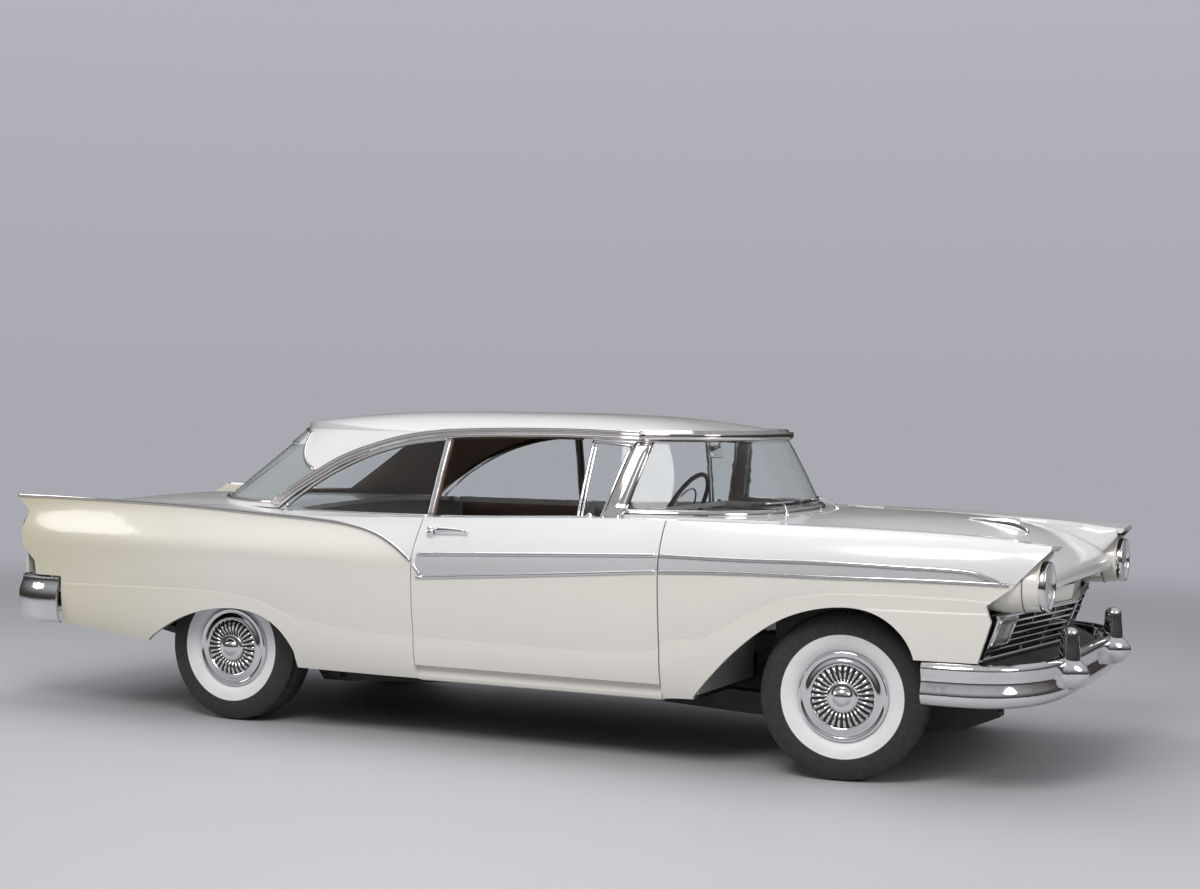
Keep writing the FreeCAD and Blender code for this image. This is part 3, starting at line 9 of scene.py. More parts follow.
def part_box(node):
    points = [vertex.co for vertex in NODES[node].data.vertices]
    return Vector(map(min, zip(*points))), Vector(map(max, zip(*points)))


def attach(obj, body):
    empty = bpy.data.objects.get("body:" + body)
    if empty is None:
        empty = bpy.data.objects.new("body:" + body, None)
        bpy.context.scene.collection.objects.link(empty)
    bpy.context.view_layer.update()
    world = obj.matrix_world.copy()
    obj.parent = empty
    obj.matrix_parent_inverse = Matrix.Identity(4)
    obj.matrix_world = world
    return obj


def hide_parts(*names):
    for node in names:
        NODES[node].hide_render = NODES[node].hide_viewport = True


# A two-door hardtop of the 1950s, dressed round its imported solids.
# Metres throughout: X forward, Y to the left, Z up, with the origin on the ground at mid-length.

bl_info = {
    "name": "Classic Hardtop",
    "version": (1, 0, 0),
    "blender": (4, 5, 0),
    "location": "View3D > Sidebar > Car",
    "description": "Paints and trims a 1950s two-door hardtop round its solids",
    "category": "Object",
}

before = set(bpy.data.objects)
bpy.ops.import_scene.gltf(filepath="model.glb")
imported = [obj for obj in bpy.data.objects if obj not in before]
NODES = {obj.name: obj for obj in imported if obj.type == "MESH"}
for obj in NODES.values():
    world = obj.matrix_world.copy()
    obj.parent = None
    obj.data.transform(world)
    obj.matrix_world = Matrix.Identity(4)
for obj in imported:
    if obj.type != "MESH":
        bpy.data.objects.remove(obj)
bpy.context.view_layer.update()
SIDES = (("right", -1), ("left", 1))


# Sizes and colours

class CarPaint(bpy.types.PropertyGroup):
    upper: bpy.props.FloatVectorProperty(
        name="Upper colour", description="Colour of the roof, hood, deck and the sides above the trim",
        default=(0.77, 0.77, 0.775), subtype="COLOR", size=3)
    lower: bpy.props.FloatVectorProperty(
        name="Lower colour", description="Colour of the sides below the trim",
        default=(0.79, 0.765, 0.705), subtype="COLOR", size=3)
    # Painted shade: the darker, yellower colour that the lower sides turn to toward the rear end, where shade
    # falls
    tail: bpy.props.FloatVectorProperty(
        name="Tail colour", description="What the lower colour turns to at the rear end",
        default=(0.68, 0.62, 0.45), subtype="COLOR", size=3)
    insert: bpy.props.FloatVectorProperty(
        name="Insert colour", description="Colour of the band between the two side strips",
        default=(0.53, 0.535, 0.555), subtype="COLOR", size=3)
    cabin: bpy.props.FloatVectorProperty(
        name="Cabin colour", description="Colour of the cloth and the door linings",
        default=(0.165, 0.105, 0.075), subtype="COLOR", size=3)


class CarTrim(bpy.types.PropertyGroup):
    strip_height: bpy.props.FloatProperty(
        name="Strip height", description="Height of the side strips", default=0.016, unit="LENGTH")
    strip_depth: bpy.props.FloatProperty(
        name="Strip depth", description="How far a strip stands off the panel", default=0.009, unit="LENGTH")


class CarWheels(bpy.types.PropertyGroup):
    white_inner: bpy.props.FloatProperty(
        name="White band inner radius", description="Where the tyre's white band starts",
        default=0.187, unit="LENGTH")
    white_outer: bpy.props.FloatProperty(
        name="White band outer radius", description="Where the tyre's white band ends",
        default=0.252, unit="LENGTH")
    ribs: bpy.props.IntProperty(
        name="Cover ribs", description="Pleats pressed into each wheel cover", default=30)


# Shader helpers

class Nodes:
    """A node tree under construction: nodes are added by type, and fed by links or plain values."""

    def __init__(self, tree):
        self.tree = tree

    def feed(self, socket, value):
        if isinstance(value, bpy.types.NodeSocket):
            self.tree.links.new(value, socket)
        else:
            socket.default_value = value

    def add(self, kind, links=(), **settings):
        node = self.tree.nodes.new(kind)
        for name, value in settings.items():
            setattr(node, name, value)
        for index, value in links:
            self.feed(node.inputs[index], value)
        return node

    def place(self):
        return self.add("ShaderNodeTexCoord").outputs["Object"]

    def split(self, vector):
        return self.add("ShaderNodeSeparateXYZ", [(0, vector)]).outputs

    def math(self, operation, *values, clamp=False):
        node = self.add("ShaderNodeMath", list(enumerate(values)), operation=operation, use_clamp=clamp)
        return node.outputs[0]

    def vector(self, operation, output, *values):
        return self.add("ShaderNodeVectorMath", list(enumerate(values)), operation=operation).outputs[output]

    def noise(self, place, scale, detail):
        links = [("Vector", place), ("Scale", scale), ("Detail", detail)]
        return self.add("ShaderNodeTexNoise", links).outputs[0]

    def spread(self, value, first, last, low, high, **settings):
        """Maps a value that runs from first to last onto low to high."""
        links = list(enumerate((value, first, last, low, high)))
        return self.add("ShaderNodeMapRange", links, **settings).outputs[0]

    def mix(self, factor, first, second):
        """Blends two colours, each a socket or three numbers."""
        node = self.add("ShaderNodeMix", [(0, factor)], data_type="RGBA")
        for index, colour in ((6, first), (7, second)):
            fixed = not isinstance(colour, bpy.types.NodeSocket)
            self.feed(node.inputs[index], (*colour[:3], 1.0) if fixed else colour)
        return node.outputs[2]

    def ramp(self, value, stops):
        """A colour ramp over a value, from (place, colour) stops."""
        node = self.add("ShaderNodeValToRGB", [(0, value)])
        elements = node.color_ramp.elements
        for element, (place, colour) in zip(elements, (stops[0], stops[-1])):
            element.position = place
            element.color = (*colour, 1.0)
        for place, colour in stops[1:-1]:
            elements.new(place).color = (*colour, 1.0)
        return node.outputs[0]


class Shader(Nodes):
    """A material under construction, round its Principled node."""

    def __init__(self, name):
        self.material = bpy.data.materials.new(name)
        self.material.use_nodes = True
        super().__init__(self.material.node_tree)
        self.surface = self.tree.nodes["Principled BSDF"]

    def group(self, name, **inputs):
        node = self.add("ShaderNodeGroup", node_tree=bpy.data.node_groups[name])
        for key, value in inputs.items():
            self.feed(node.inputs[key], value)
        return node.outputs

    def mottle(self, scale, low=0.0, high=1.0, detail=3.0):
        return self.group("mottle", Scale=scale, Low=low, High=high, Detail=detail)[0]

    def set(self, **inputs):
        for key, value in inputs.items():
            self.feed(self.surface.inputs[key.replace("_", " ")], value)

    def bump(self, height, distance, strength=1.0):
        links = [("Strength", strength), ("Distance", distance), ("Height", height)]
        self.set(Normal=self.add("ShaderNodeBump", links).outputs["Normal"])


class Group(Nodes):
    """A shader node group under construction, with inputs of (label, default) and labelled outputs."""

    def __init__(self, name, inputs, outputs):
        super().__init__(bpy.data.node_groups.new(name, "ShaderNodeTree"))
        for label, default in inputs:
            kind = "NodeSocketVector" if isinstance(default, tuple) else "NodeSocketFloat"
            socket = self.tree.interface.new_socket(name=label, in_out="INPUT", socket_type=kind)
            socket.default_value = default
        for label in outputs:
            self.tree.interface.new_socket(name=label, in_out="OUTPUT", socket_type="NodeSocketFloat")
        self.given = self.tree.nodes.new("NodeGroupInput").outputs
        self.end = self.tree.nodes.new("NodeGroupOutput")

    def out(self, label, socket):
        self.tree.links.new(socket, self.end.inputs[label])


def make_mottle():
    """Slow and fine variation over a surface, for colour and gloss."""
    group = Group("mottle", [("Scale", 6.0), ("Detail", 3.0), ("Low", 0.0), ("High", 1.0)], ["Value"])
    given = group.given
    noise = group.noise(group.place(), given["Scale"], given["Detail"])
    group.out("Value", group.spread(noise, 0.3, 0.7, given["Low"], given["High"]))


def make_dust():
    """Dust that gathers low on the object and fades upward."""
    group = Group("low_dust", [("Top", 0.5), ("Amount", 0.3)], ["Mask"])
    place = group.place()
    fade = group.spread(group.split(place)[2], 0.0, group.given["Top"], 1.0, 0.0)
    both = group.math("MULTIPLY", fade, group.noise(place, 9.0, 6.0))
    group.out("Mask", group.math("MULTIPLY", both, group.given["Amount"], clamp=True))


def make_distance():
    """Runs from 0 at one distance from the object to 1 at another."""
    group = Group("distance", [("Start", 5.5), ("End", 11.5)], ["Mask"])
    away = group.vector("LENGTH", "Value", group.place())
    fade = group.spread(away, group.given["Start"], group.given["End"], 0.0, 1.0,
                        interpolation_type="SMOOTHERSTEP")
    group.out("Mask", fade)


def make_weave():
    """Crossed threads, as a height and a shade."""
    group = Group("weave", [("Pitch", 400.0)], ["Height", "Shade"])
    place = group.place()
    waves = []
    for turn in (0.0, math.pi / 2):
        turned_place = group.add("ShaderNodeMapping", [(0, place), (2, (0.35, 0.2, turn + 0.15))]).outputs[0]
        wave = group.add("ShaderNodeTexWave", [("Vector", turned_place), ("Scale", group.given["Pitch"]),
                                               ("Distortion", 0.6)])
        waves.append(wave.outputs[1])
    height = group.math("MAXIMUM", *waves)
    group.out("Height", height)
    group.out("Shade", group.math("MULTIPLY", height, group.noise(place, 160.0, 4.0), clamp=True))


def make_radius():
    """Distance from an axle, for what is painted in rings on a wheel."""
    group = Group("axle_radius", [("Centre", (0, 0, 0)), ("Axle", (0, 1, 0))], ["Radius"])
    from_centre = group.vector("SUBTRACT", 0, group.place(), group.given["Centre"])
    along = group.vector("DOT_PRODUCT", "Value", from_centre, group.given["Axle"])
    length = group.vector("LENGTH", "Value", from_centre)
    square = group.math("SUBTRACT", group.math("POWER", length, 2.0), group.math("POWER", along, 2.0))
    group.out("Radius", group.math("SQRT", group.math("MAXIMUM", square, 0.0)))


# Lines on the sides, as points of (x, z): where the colours change, and the pressed edges

HALF_LENGTH = 2.64
LINE_TOP = 1.5
FIN_LINE = [(-2.64, 1.026), (-2.3, 1.023), (-1.980, 1.018), (-1.484, 1.006), (-1.006, 0.982), (-0.776, 0.970),
            (-0.589, 0.953), (-0.439, 0.922), (-0.319, 0.872), (-0.229, 0.814), (-0.170, 0.743)]
LOW_LINE = [(-0.155, 0.745), (0.956, 0.823), (1.324, 0.835), (1.666, 0.838), (1.996, 0.842), (2.236, 0.842),
            (2.411, 0.838)]
HIGH_LINE = [(-0.205, 0.843), (0.955, 0.889), (1.324, 0.889), (1.665, 0.895), (1.995, 0.891), (2.245, 0.884),
             (2.33, 0.862), (2.385, 0.842)]
FRONT_CREASE = [(0.95, 0.40), (1.151, 0.550), (1.326, 0.651), (1.514, 0.735), (1.620, 0.760), (1.712, 0.772),
                (1.942, 0.778), (2.236, 0.774), (2.42, 0.760)]
SECOND_CREASE = [(1.76, 0.640), (1.84, 0.718), (2.237, 0.720), (2.42, 0.723)]
REAR_CREASE = [(-2.60, 0.603), (-2.211, 0.606), (-1.949, 0.612), (-1.425, 0.622), (-1.20, 0.615),
               (-1.069, 0.598), (-0.860, 0.520), (-0.78, 0.40)]


def line_curve(group, along, points):
    """A height that follows points of (x, z), as a curve node over the car's length."""
    share = group.spread(along, -HALF_LENGTH, HALF_LENGTH, 0.0, 1.0)
    node = group.add("ShaderNodeFloatCurve", [("Value", share)])
    curve = node.mapping.curves[0]
    while len(curve.points) > 2:
        curve.points.remove(curve.points[-1])
    places = [((x + HALF_LENGTH) / (2 * HALF_LENGTH), z / LINE_TOP) for x, z in points]
    curve.points[0].location = (0.0, places[0][1])
    curve.points[1].location = (1.0, places[-1][1])
    for x, z in places:
        if 0.001 < x < 0.999:
            curve.points.new(x, z)
    for point in curve.points:
        point.handle_type = "VECTOR"
    node.mapping.update()
    return group.math("MULTIPLY", node.outputs[0], LINE_TOP)


def make_creases():
    """The pressed edges round the wheel openings, as a height that steps outward below each line, and a mask
    for the painted shade toward the rear end.
    """
    group = Group("creases", [], ["Height", "Tail"])
    x, _, z = group.split(group.place())
    total = None
    for points, first, last, share in ((FRONT_CREASE, 0.98, 2.43, 1.0), (SECOND_CREASE, 1.80, 2.43, 0.7),
                                       (REAR_CREASE, -2.60, -0.80, 0.9)):
        below = group.math("SUBTRACT", line_curve(group, x, points), z)
        step = group.spread(below, -0.004, 0.004, 0.0, share, interpolation_type="SMOOTHSTEP")
        inside = group.math("MULTIPLY", group.math("GREATER_THAN", x, first),
                            group.math("LESS_THAN", x, last))
        part = group.math("MULTIPLY", step, inside)
        total = part if total is None else group.math("ADD", total, part)
    group.out("Height", total)
    # Tail runs from 0 to 1 toward the rear end and sets how much painted shade the lower colour takes there
    group.out("Tail", group.spread(x, -1.2, -2.6, 0.0, 1.0))


def make_two_tone():
    """Masks for the sides: below the trim, and between the two strips."""
    group = Group("two_tone", [], ["Lower", "Insert"])
    x, _, z = group.split(group.place())
    low = line_curve(group, x, FIN_LINE + LOW_LINE + [(HALF_LENGTH, 0.838)])
    high = line_curve(group, x, [(-HALF_LENGTH, 0.843)] + HIGH_LINE + [(HALF_LENGTH, 0.84)])
    group.out("Lower", group.math("LESS_THAN", z, low))
    between = group.math("MULTIPLY", group.math("GREATER_THAN", z, low), group.math("LESS_THAN", z, high))
    group.out("Insert", group.math("MULTIPLY", between, group.math("GREATER_THAN", x, -0.2)))


def make_lie():
    """Masks by where a face lies and the way it points.

    Inward and Crest point toward the middle plane, low and high. Cabin points into the cabin, Up points up,
    Brow lies under a headlamp's brow, where painted shade goes, and Outer lies far out to the side.
    """
    group = Group("lie", [], ["Inward", "Cabin", "Up", "Brow", "Outer", "Crest"])
    coordinates = group.add("ShaderNodeTexCoord").outputs
    x, y, z = group.split(coordinates["Object"])
    facing = group.split(coordinates["Normal"])
    outward = group.math("MULTIPLY", facing[1], group.math("SIGN", y))
    low = group.math("LESS_THAN", z, 0.86)
    inward = group.math("LESS_THAN", outward, -0.25)
    group.out("Inward", group.math("MULTIPLY", inward, low))
    group.out("Crest", group.math("MULTIPLY", inward, group.math("SUBTRACT", 1.0, low)))
    from_middle = group.vector("SUBTRACT", 0, coordinates["Object"], (-0.25, 0.0, 0.95))
    along = group.vector("DOT_PRODUCT", "Value", from_middle, coordinates["Normal"])
    group.out("Cabin", group.math("LESS_THAN", along, -0.02))
    group.out("Up", group.math("GREATER_THAN", facing[2], 0.5))
    corner = group.math("MULTIPLY", group.math("GREATER_THAN", x, 2.33), group.math("GREATER_THAN", z, 0.84))
    group.out("Brow", group.math("MULTIPLY", corner, group.math("LESS_THAN", facing[2], -0.5)))
    group.out("Outer", group.math("GREATER_THAN", group.math("ABSOLUTE", y), 0.87))


# Materials

WORN_TINT = (0.40, 0.38, 0.34)
PALE_DUST = (0.42, 0.37, 0.30)
ROAD_DUST = (0.36, 0.31, 0.25)
DARK_DUST = (0.20, 0.17, 0.13)
# Painted shade: dark brown for the faces that lie under the headlamp brows
BROW_PAINTED_SHADE = (0.075, 0.050, 0.038)
WHEEL_HOUSE = (0.028, 0.025, 0.022)


def scaled(colour, share):
    return tuple(part * share for part in colour)


def car_paint(name, colours, creased=False):
    """Enamel with a slight sink and ripple under its gloss. The colour is plain, or a function gives it."""
    shader = Shader(name)
    base = colours(shader) if callable(colours) else tuple(colours)
    tint = shader.mix(shader.mottle(1.7, 0.0, 0.05), base, WORN_TINT)
    dust = shader.group("low_dust", Top=0.55, Amount=0.16)[0]
    shader.set(Base_Color=shader.mix(dust, tint, PALE_DUST), Roughness=shader.mottle(3.0, 0.16, 0.24),
               Coat_Weight=0.6, Coat_Roughness=0.04, IOR=1.5)
    if creased:
        shader.bump(shader.group("creases")["Height"], 0.006)
    else:
        shader.bump(shader.mottle(26.0, detail=2.0), 0.00012, 0.35)
    return shader.material


def side_paint(name, paint, inner):
    """The two-tone sides, with painted shade under the brow and toward the rear end, and another colour on
    the faces that point inward.
    """
    def colours(shader):
        masks = shader.group("two_tone")
        # Painted shade: toward the rear end the lower colour turns darker and yellower
        lower_with_rear_shade = shader.mix(shader.group("creases")["Tail"], tuple(paint.lower), tuple(paint.tail))
        lower = shader.mix(masks["Lower"], tuple(paint.upper), lower_with_rear_shade)
        outside = shader.mix(masks["Insert"], lower, tuple(paint.insert))
        hidden = shader.group("lie")
        crest = shader.mix(hidden["Crest"], outside, tuple(paint.upper))
        # Painted shade on the faces under the headlamp brows; faces that point inward take the inner colour
        return shader.mix(hidden["Inward"], shader.mix(hidden["Brow"], crest, BROW_PAINTED_SHADE), inner)
    return car_paint(name, colours, creased=True)


def two_sided(name, outside, inside, mask):
    """Enamel outside and a lining inside, told apart by the way the faces point."""
    def colours(shader):
        return shader.mix(shader.group("lie")[mask], tuple(outside), tuple(inside))
    return car_paint(name, colours)


def grained(name, colours, tone, gloss, relief=None, **settings):
    """A material that varies over the surface.

    tone gives the scale and detail between its two colours, gloss the scale with the least and most
    roughness, and relief the scale, detail, height and strength of its bumps.
    """
    shader = Shader(name)
    shader.set(Base_Color=shader.mix(shader.mottle(tone[0], detail=tone[1]), *colours),
               Roughness=shader.mottle(*gloss), **settings)
    if relief:
        shader.bump(shader.mottle(relief[0], detail=relief[1]), relief[2], relief[3])
    return shader.material


def chrome(name, tint=(0.80, 0.80, 0.81), rough=0.06):
    return grained(name, (tint, scaled(tint, 0.93)), (14.0, 3.0), (30.0, rough * 0.7, rough * 1.5),
                   (180.0, 2.0, 0.00004, 0.2), Metallic=1.0)


def brushed(name, colour, rough=0.35):
    return grained(name, (colour, scaled(colour, 0.85)), (40.0, 3.0), (90.0, rough * 0.8, rough * 1.2),
                   Metallic=0.9)


def rubber(name, colour=(0.022, 0.021, 0.020)):
    return grained(name, (colour, scaled(colour, 1.7)), (60.0, 6.0), (50.0, 0.55, 0.75),
                   (300.0, 4.0, 0.0003, 0.3))


def vinyl(name, colour):
    return grained(name, (colour, scaled(colour, 0.85)), (7.0, 4.0), (30.0, 0.38, 0.5),
                   (420.0, 3.0, 0.0005, 0.4))


def glass(name, tint):
    shader = Shader(name)
    shader.set(Base_Color=shader.mix(shader.mottle(2.0), tint, scaled(tint, 0.97)), Roughness=0.0,
               Transmission_Weight=1.0, IOR=1.30)
    return shader.material


def black_paint(name, colour=(0.018, 0.017, 0.016), rough=0.45, dust=0.4):
    """Dull paint with road dust low down."""
    shader = Shader(name)
    base = shader.mix(shader.mottle(22.0, detail=5.0), colour, scaled(colour, 1.8))
    mask = shader.group("low_dust", Top=0.9, Amount=dust)[0]
    shader.set(Base_Color=shader.mix(mask, base, DARK_DUST),
               Roughness=shader.mottle(35.0, rough, rough + 0.2))
    shader.bump(shader.mottle(140.0, detail=6.0), 0.0006, 0.3)
    return shader.material


def floor_paint(paint):
    """Body colour on the sill outside, carpet on top and dark paint below."""
    shader = Shader("floor_finish")
    masks = shader.group("lie")
    weave = shader.group("weave", Pitch=130.0)
    pile = shader.mix(weave["Shade"], (0.075, 0.046, 0.033), (0.14, 0.09, 0.065))
    topped = shader.mix(masks["Up"], (0.022, 0.020, 0.018), pile)
    base = shader.mix(masks["Outer"], topped, tuple(paint.lower))
    dust = shader.group("low_dust", Top=0.5, Amount=0.2)[0]
    shader.set(Base_Color=shader.mix(dust, base, ROAD_DUST), Roughness=shader.mottle(20.0, 0.3, 0.55))
    shader.bump(weave["Height"], 0.0002, 0.3)
    return shader.material


def white_wall(name, centre, axle, sizes):
    """Black rubber with a wide white band on its side."""
    shader = Shader(name)
    radius = shader.group("axle_radius", Centre=centre, Axle=axle)[0]
    masks = [shader.math("GREATER_THAN", radius, edge) for edge in (sizes.white_inner, sizes.white_outer)]
    black = shader.mix(shader.mottle(60.0, detail=6.0), (0.020, 0.019, 0.018), (0.036, 0.034, 0.032))
    white = shader.mix(shader.mottle(11.0, detail=6.0), (0.86, 0.88, 0.89), (0.80, 0.81, 0.81))
    shader.set(Base_Color=shader.mix(shader.math("SUBTRACT", *masks), black, white),
               Roughness=shader.mottle(50.0, 0.5, 0.7))
    shader.bump(shader.mottle(260.0, detail=4.0), 0.0003, 0.25)
    return shader.material


def cloth(name, colour, second, pitch=260.0):
    shader = Shader(name)
    weave = shader.group("weave", Pitch=pitch)
    base = shader.mix(weave["Shade"], colour, second)
    worn = shader.mix(shader.mottle(8.0, detail=5.0), base, scaled(colour, 0.8))
    shader.set(Base_Color=worn, Roughness=0.85, Sheen_Weight=0.35, Sheen_Roughness=0.4)
    shader.bump(weave["Height"], 0.0008, 0.5)
    return shader.material


def lens(name, colour, flutes):
    """Moulded lens plastic or glass, with pressed flutes."""
    shader = Shader(name)
    shader.set(Base_Color=shader.mix(shader.mottle(20.0), colour, scaled(colour, 0.85)), Roughness=0.06,
               Transmission_Weight=0.55, IOR=1.45, Coat_Weight=0.5)
    shader.bump(shader.group("weave", Pitch=flutes)["Height"], 0.002, 0.6)
    return shader.material


M = {}
# A slot name for each material key, which piece looks up but does not use
SLOTS = {"chrome": "chrome", "trim": "chrome", "bright": "chrome", "mirror": "lamp_chrome",
         "amber": "lamp_chrome", "plate": "lamp_chrome", "clear": "window_glass", "tint": "window_glass",
         "white": "white_paint", "ivory": "ivory_paint", "dark": "chassis_paint", "black": "chassis_paint",
         "rubber": "tyre_rubber", "felt": "tyre_rubber", "lining": "seat_cloth", "plastic": "wheel_plastic",
         "dial": "dash_paint"}


def make_materials(paint):
    for make in (make_mottle, make_dust, make_distance, make_weave, make_radius, make_two_tone, make_lie,
                 make_creases):
        make()
    lining = scaled(paint.cabin, 1.15)
    M["side"] = side_paint("side_paint", paint, WHEEL_HOUSE)
    M["door"] = side_paint("door_paint", paint, lining)
    M["roof"] = two_sided("roof_enamel", paint.upper, scaled(paint.cabin, 1.3), "Cabin")
    M["white"] = car_paint("upper_enamel", paint.upper)
    M["ivory"] = car_paint("lower_enamel", paint.lower)
    M["chrome"] = chrome("bright_chrome")
    M["trim"] = chrome("trim_chrome", (0.64, 0.61, 0.59))
    M["bright"] = brushed("bright_steel", (0.62, 0.62, 0.62), 0.22)
    M["glass"] = glass("window_glass", (0.93, 0.965, 0.955))
    M["tint"] = car_paint("tinted_glass", (0.30, 0.335, 0.335))
    M["black"] = black_paint("chassis_black")
    # Near-black painted shade: on the radiator core behind the grille and in the pleat gaps of the wheel
    # covers
    M["dark"] = black_paint("shadow_black", (0.010, 0.009, 0.009), 0.6, 0.1)
    M["iron"] = black_paint("cast_iron", (0.05, 0.045, 0.04), 0.5, 0.5)
    M["rubber"] = rubber("seal_rubber")
    M["cloth"] = cloth("seat_cloth", tuple(paint.cabin), scaled(paint.cabin, 1.9))
    M["top_vinyl"] = vinyl("light_vinyl", (0.70, 0.66, 0.56))
    M["lining"] = vinyl("lining_vinyl", lining)
    M["floor"] = floor_paint(paint)
    M["dash"] = car_paint("dash_enamel", (0.24, 0.165, 0.12))
    M["plastic"] = vinyl("wheel_plastic", (0.085, 0.050, 0.036))
    M["felt"] = rubber("window_felt", (0.085, 0.055, 0.040))
    M["dial"] = vinyl("dial_face", (0.05, 0.045, 0.04))
    M["plate"] = car_paint("plate_enamel", (0.66, 0.65, 0.60))
    M["amber"] = lens("parking_lens", (0.62, 0.61, 0.58), 70.0)
    M["red"] = lens("red_lens", (0.55, 0.012, 0.010), 90.0)
    M["clear"] = lens("clear_lens", (0.90, 0.91, 0.90), 60.0)
    M["mirror"] = chrome("mirror_silver", (0.9, 0.9, 0.9), 0.02)


def dress(node, material):
    """Gives a CAD piece one material."""
    mesh = NODES[node].data
    mesh.materials.clear()
    mesh.materials.append(material)


# Mesh helpers

def around(axle):
    """Two directions square to an axle and to each other."""
    side = axle.orthogonal().normalized()
    return side, axle.cross(side)


def spoke(ways, angle):
    """The direction at an angle between two square directions."""
    return ways[0] * math.cos(angle) + ways[1] * math.sin(angle)


def full_turn(count):
    return [2 * math.pi * index / count for index in range(count)]


def piece(name, mesh, key="chrome", body="body", slot=None, smooth=True, replaces=()):
    """Puts a mesh in the scene with its material or materials, and lets it ride on a body."""
    obj = bpy.data.objects.new(name, mesh)
    bpy.context.scene.collection.objects.link(obj)
    for one in key if isinstance(key, (list, tuple)) else [key]:
        mesh.materials.append(M[one] if isinstance(one, str) else one)
    if smooth:
        for polygon in mesh.polygons:
            polygon.use_smooth = True
    slot = slot or SLOTS[key]
    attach(obj, body)
    if replaces:
        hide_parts(*replaces)
    return obj


def finished(name, bm):
    """A mesh from a bmesh, with its faces turned outward."""
    bmesh.ops.remove_doubles(bm, verts=bm.verts, dist=1e-6)
    bmesh.ops.recalc_face_normals(bm, faces=bm.faces)
    mesh = bpy.data.meshes.new(name)
    bm.to_mesh(mesh)
    bm.free()
    return mesh


def skin(bm, rings, closed=True, material=None):
    """Faces between successive rings of vertices; material picks a slot by the place round the ring."""
    for first, second in zip(rings, rings[1:]):
        count = len(first)
        for index in range(count if closed else count - 1):
            after = (index + 1) % count
            face = bm.faces.new((first[index], first[after], second[after], second[index]))
            if material:
                face.material_index = material(index)


def loop_strip(bm, loops, closed=True, cap=True):
    """Faces between successive loops of points, with a face over each end where cap is set."""
    rings = [[bm.verts.new(point) for point in loop] for loop in loops]
    skin(bm, rings, closed)
    if cap:
        for ring in (rings[0], rings[-1]):
            bm.faces.new(ring)


def solid(name, loops, cap=True):
    """A mesh from closed loops of points."""
    bm = bmesh.new()
    loop_strip(bm, loops, True, cap)
    return finished(name, bm)


def lathe(bm, profile, centre, axle, spokes=64):
    """A surface turned about an axle; profile points are (distance along the axle, radius)."""
    axle = Vector(axle).normalized()
    ways = around(axle)
    rings = []
    for along, radius in profile:
        hub = Vector(centre) + axle * along
        if radius < 1e-5:
            rings.append([bm.verts.new(hub)])
        else:
            rings.append([bm.verts.new(hub + spoke(ways, angle) * radius) for angle in full_turn(spokes)])
    for first, second in zip(rings, rings[1:]):
        if len(second) > 1:
            skin(bm, (first, second))
            continue
        for index in range(spokes):
            bm.faces.new((first[index], first[(index + 1) % spokes], second[0]))


def turned(name, profile, centre, axle, key="chrome", body="body", spokes=48):
    """A turned piece from a profile of (along, radius)."""
    bm = bmesh.new()
    lathe(bm, profile, centre, axle, spokes)
    return piece(name, finished(name, bm), key, body)


def neighbours(points, index, closed=False):
    """The points before and after one of a line; an open end stands in for what lies beyond it."""
    before = points[index - 1] if index or closed else points[0]
    after = points[(index + 1) % len(points)] if index < len(points) - 1 or closed else points[-1]
    return before, after


def tube(name, points, radius, body="body", closed=False):
    """A round chrome bar along points."""
    loops = []
    for index, point in enumerate(points):
        before, after = neighbours(points, index, closed)
        way = (after - before).normalized()
        side = way.cross(Vector((0, 0, 1)))
        if side.length < 0.05:
            side = way.cross(Vector((1, 0, 0)))
        side.normalize()
        ways = (side, side.cross(way))
        loops.append([point + spoke(ways, angle) * radius for angle in full_turn(12)])
    if closed:
        loops.append(loops[0])
    return piece(name, solid(name, loops, not closed), body=body)


def spaced(first, last, count):
    """A count of numbers, evenly spread from first to last."""
    return [first + (last - first) * index / (count - 1) for index in range(count)]


def read_off(points, at):
    """The value at a place along points of (place, value), straight between two neighbours."""
    for (first, low), (last, high) in zip(points, points[1:]):
        if at <= last:
            break
    return low + (high - low) * (at - first) / (last - first)


def polyline(points, step):
    """Points evenly spaced along a smooth line through points."""
    fine = []
    count = len(points)
    for index in range(count - 1):
        p0 = points[max(0, index - 1)]
        p1, p2 = points[index], points[index + 1]
        p3 = points[min(count - 1, index + 2)]
        parts = max(1, int(math.ceil((p2 - p1).length / step)))
        for part in range(parts):
            t = part / parts
            fine.append(0.5 * ((2 * p1) + (p2 - p0) * t + (2 * p0 - 5 * p1 + 4 * p2 - p3) * t * t
                               + (3 * p1 - p0 - 3 * p2 + p3) * t * t * t))
    fine.append(points[-1])
    return fine


def lined(points, step=0.03):
    """Points of (x, z) joined smoothly, as pairs."""
    return [(p.x, p.z) for p in polyline([Vector((x, 0, z)) for x, z in points], step)]


TREES = {}


def tree(*names):
    """A search tree over CAD pieces, for placing things on their surface."""
    if names not in TREES:
        verts = []
        faces = []
        for name in names:
            mesh = NODES[name].data
            start = len(verts)
            verts += [vertex.co.copy() for vertex in mesh.vertices]
            faces += [[start + index for index in polygon.vertices] for polygon in mesh.polygons]
        TREES[names] = BVHTree.FromPolygons(verts, faces)
    return TREES[names]


# How far out rays start: to a side, above, behind, and round an upright line
SIDE_START = 1.4
TOP_START = 2.5
REAR_START = -4.0
RING_START = 3.0


def cast(names, start, way):
    """Where a ray meets the named pieces, with the way the surface faces, or None."""
    hit, normal, _, _ = tree(*names).ray_cast(start, way)
    if hit is None:
        return None
    return hit, -normal if normal.dot(way) > 0 else normal


def on_side(x, z, hand, *names):
    """The body's side at (x, z), from outside on the right (hand -1) or the left (hand 1)."""
    return cast(names, Vector((x, hand * SIDE_START, z)), Vector((0, -hand, 0)))


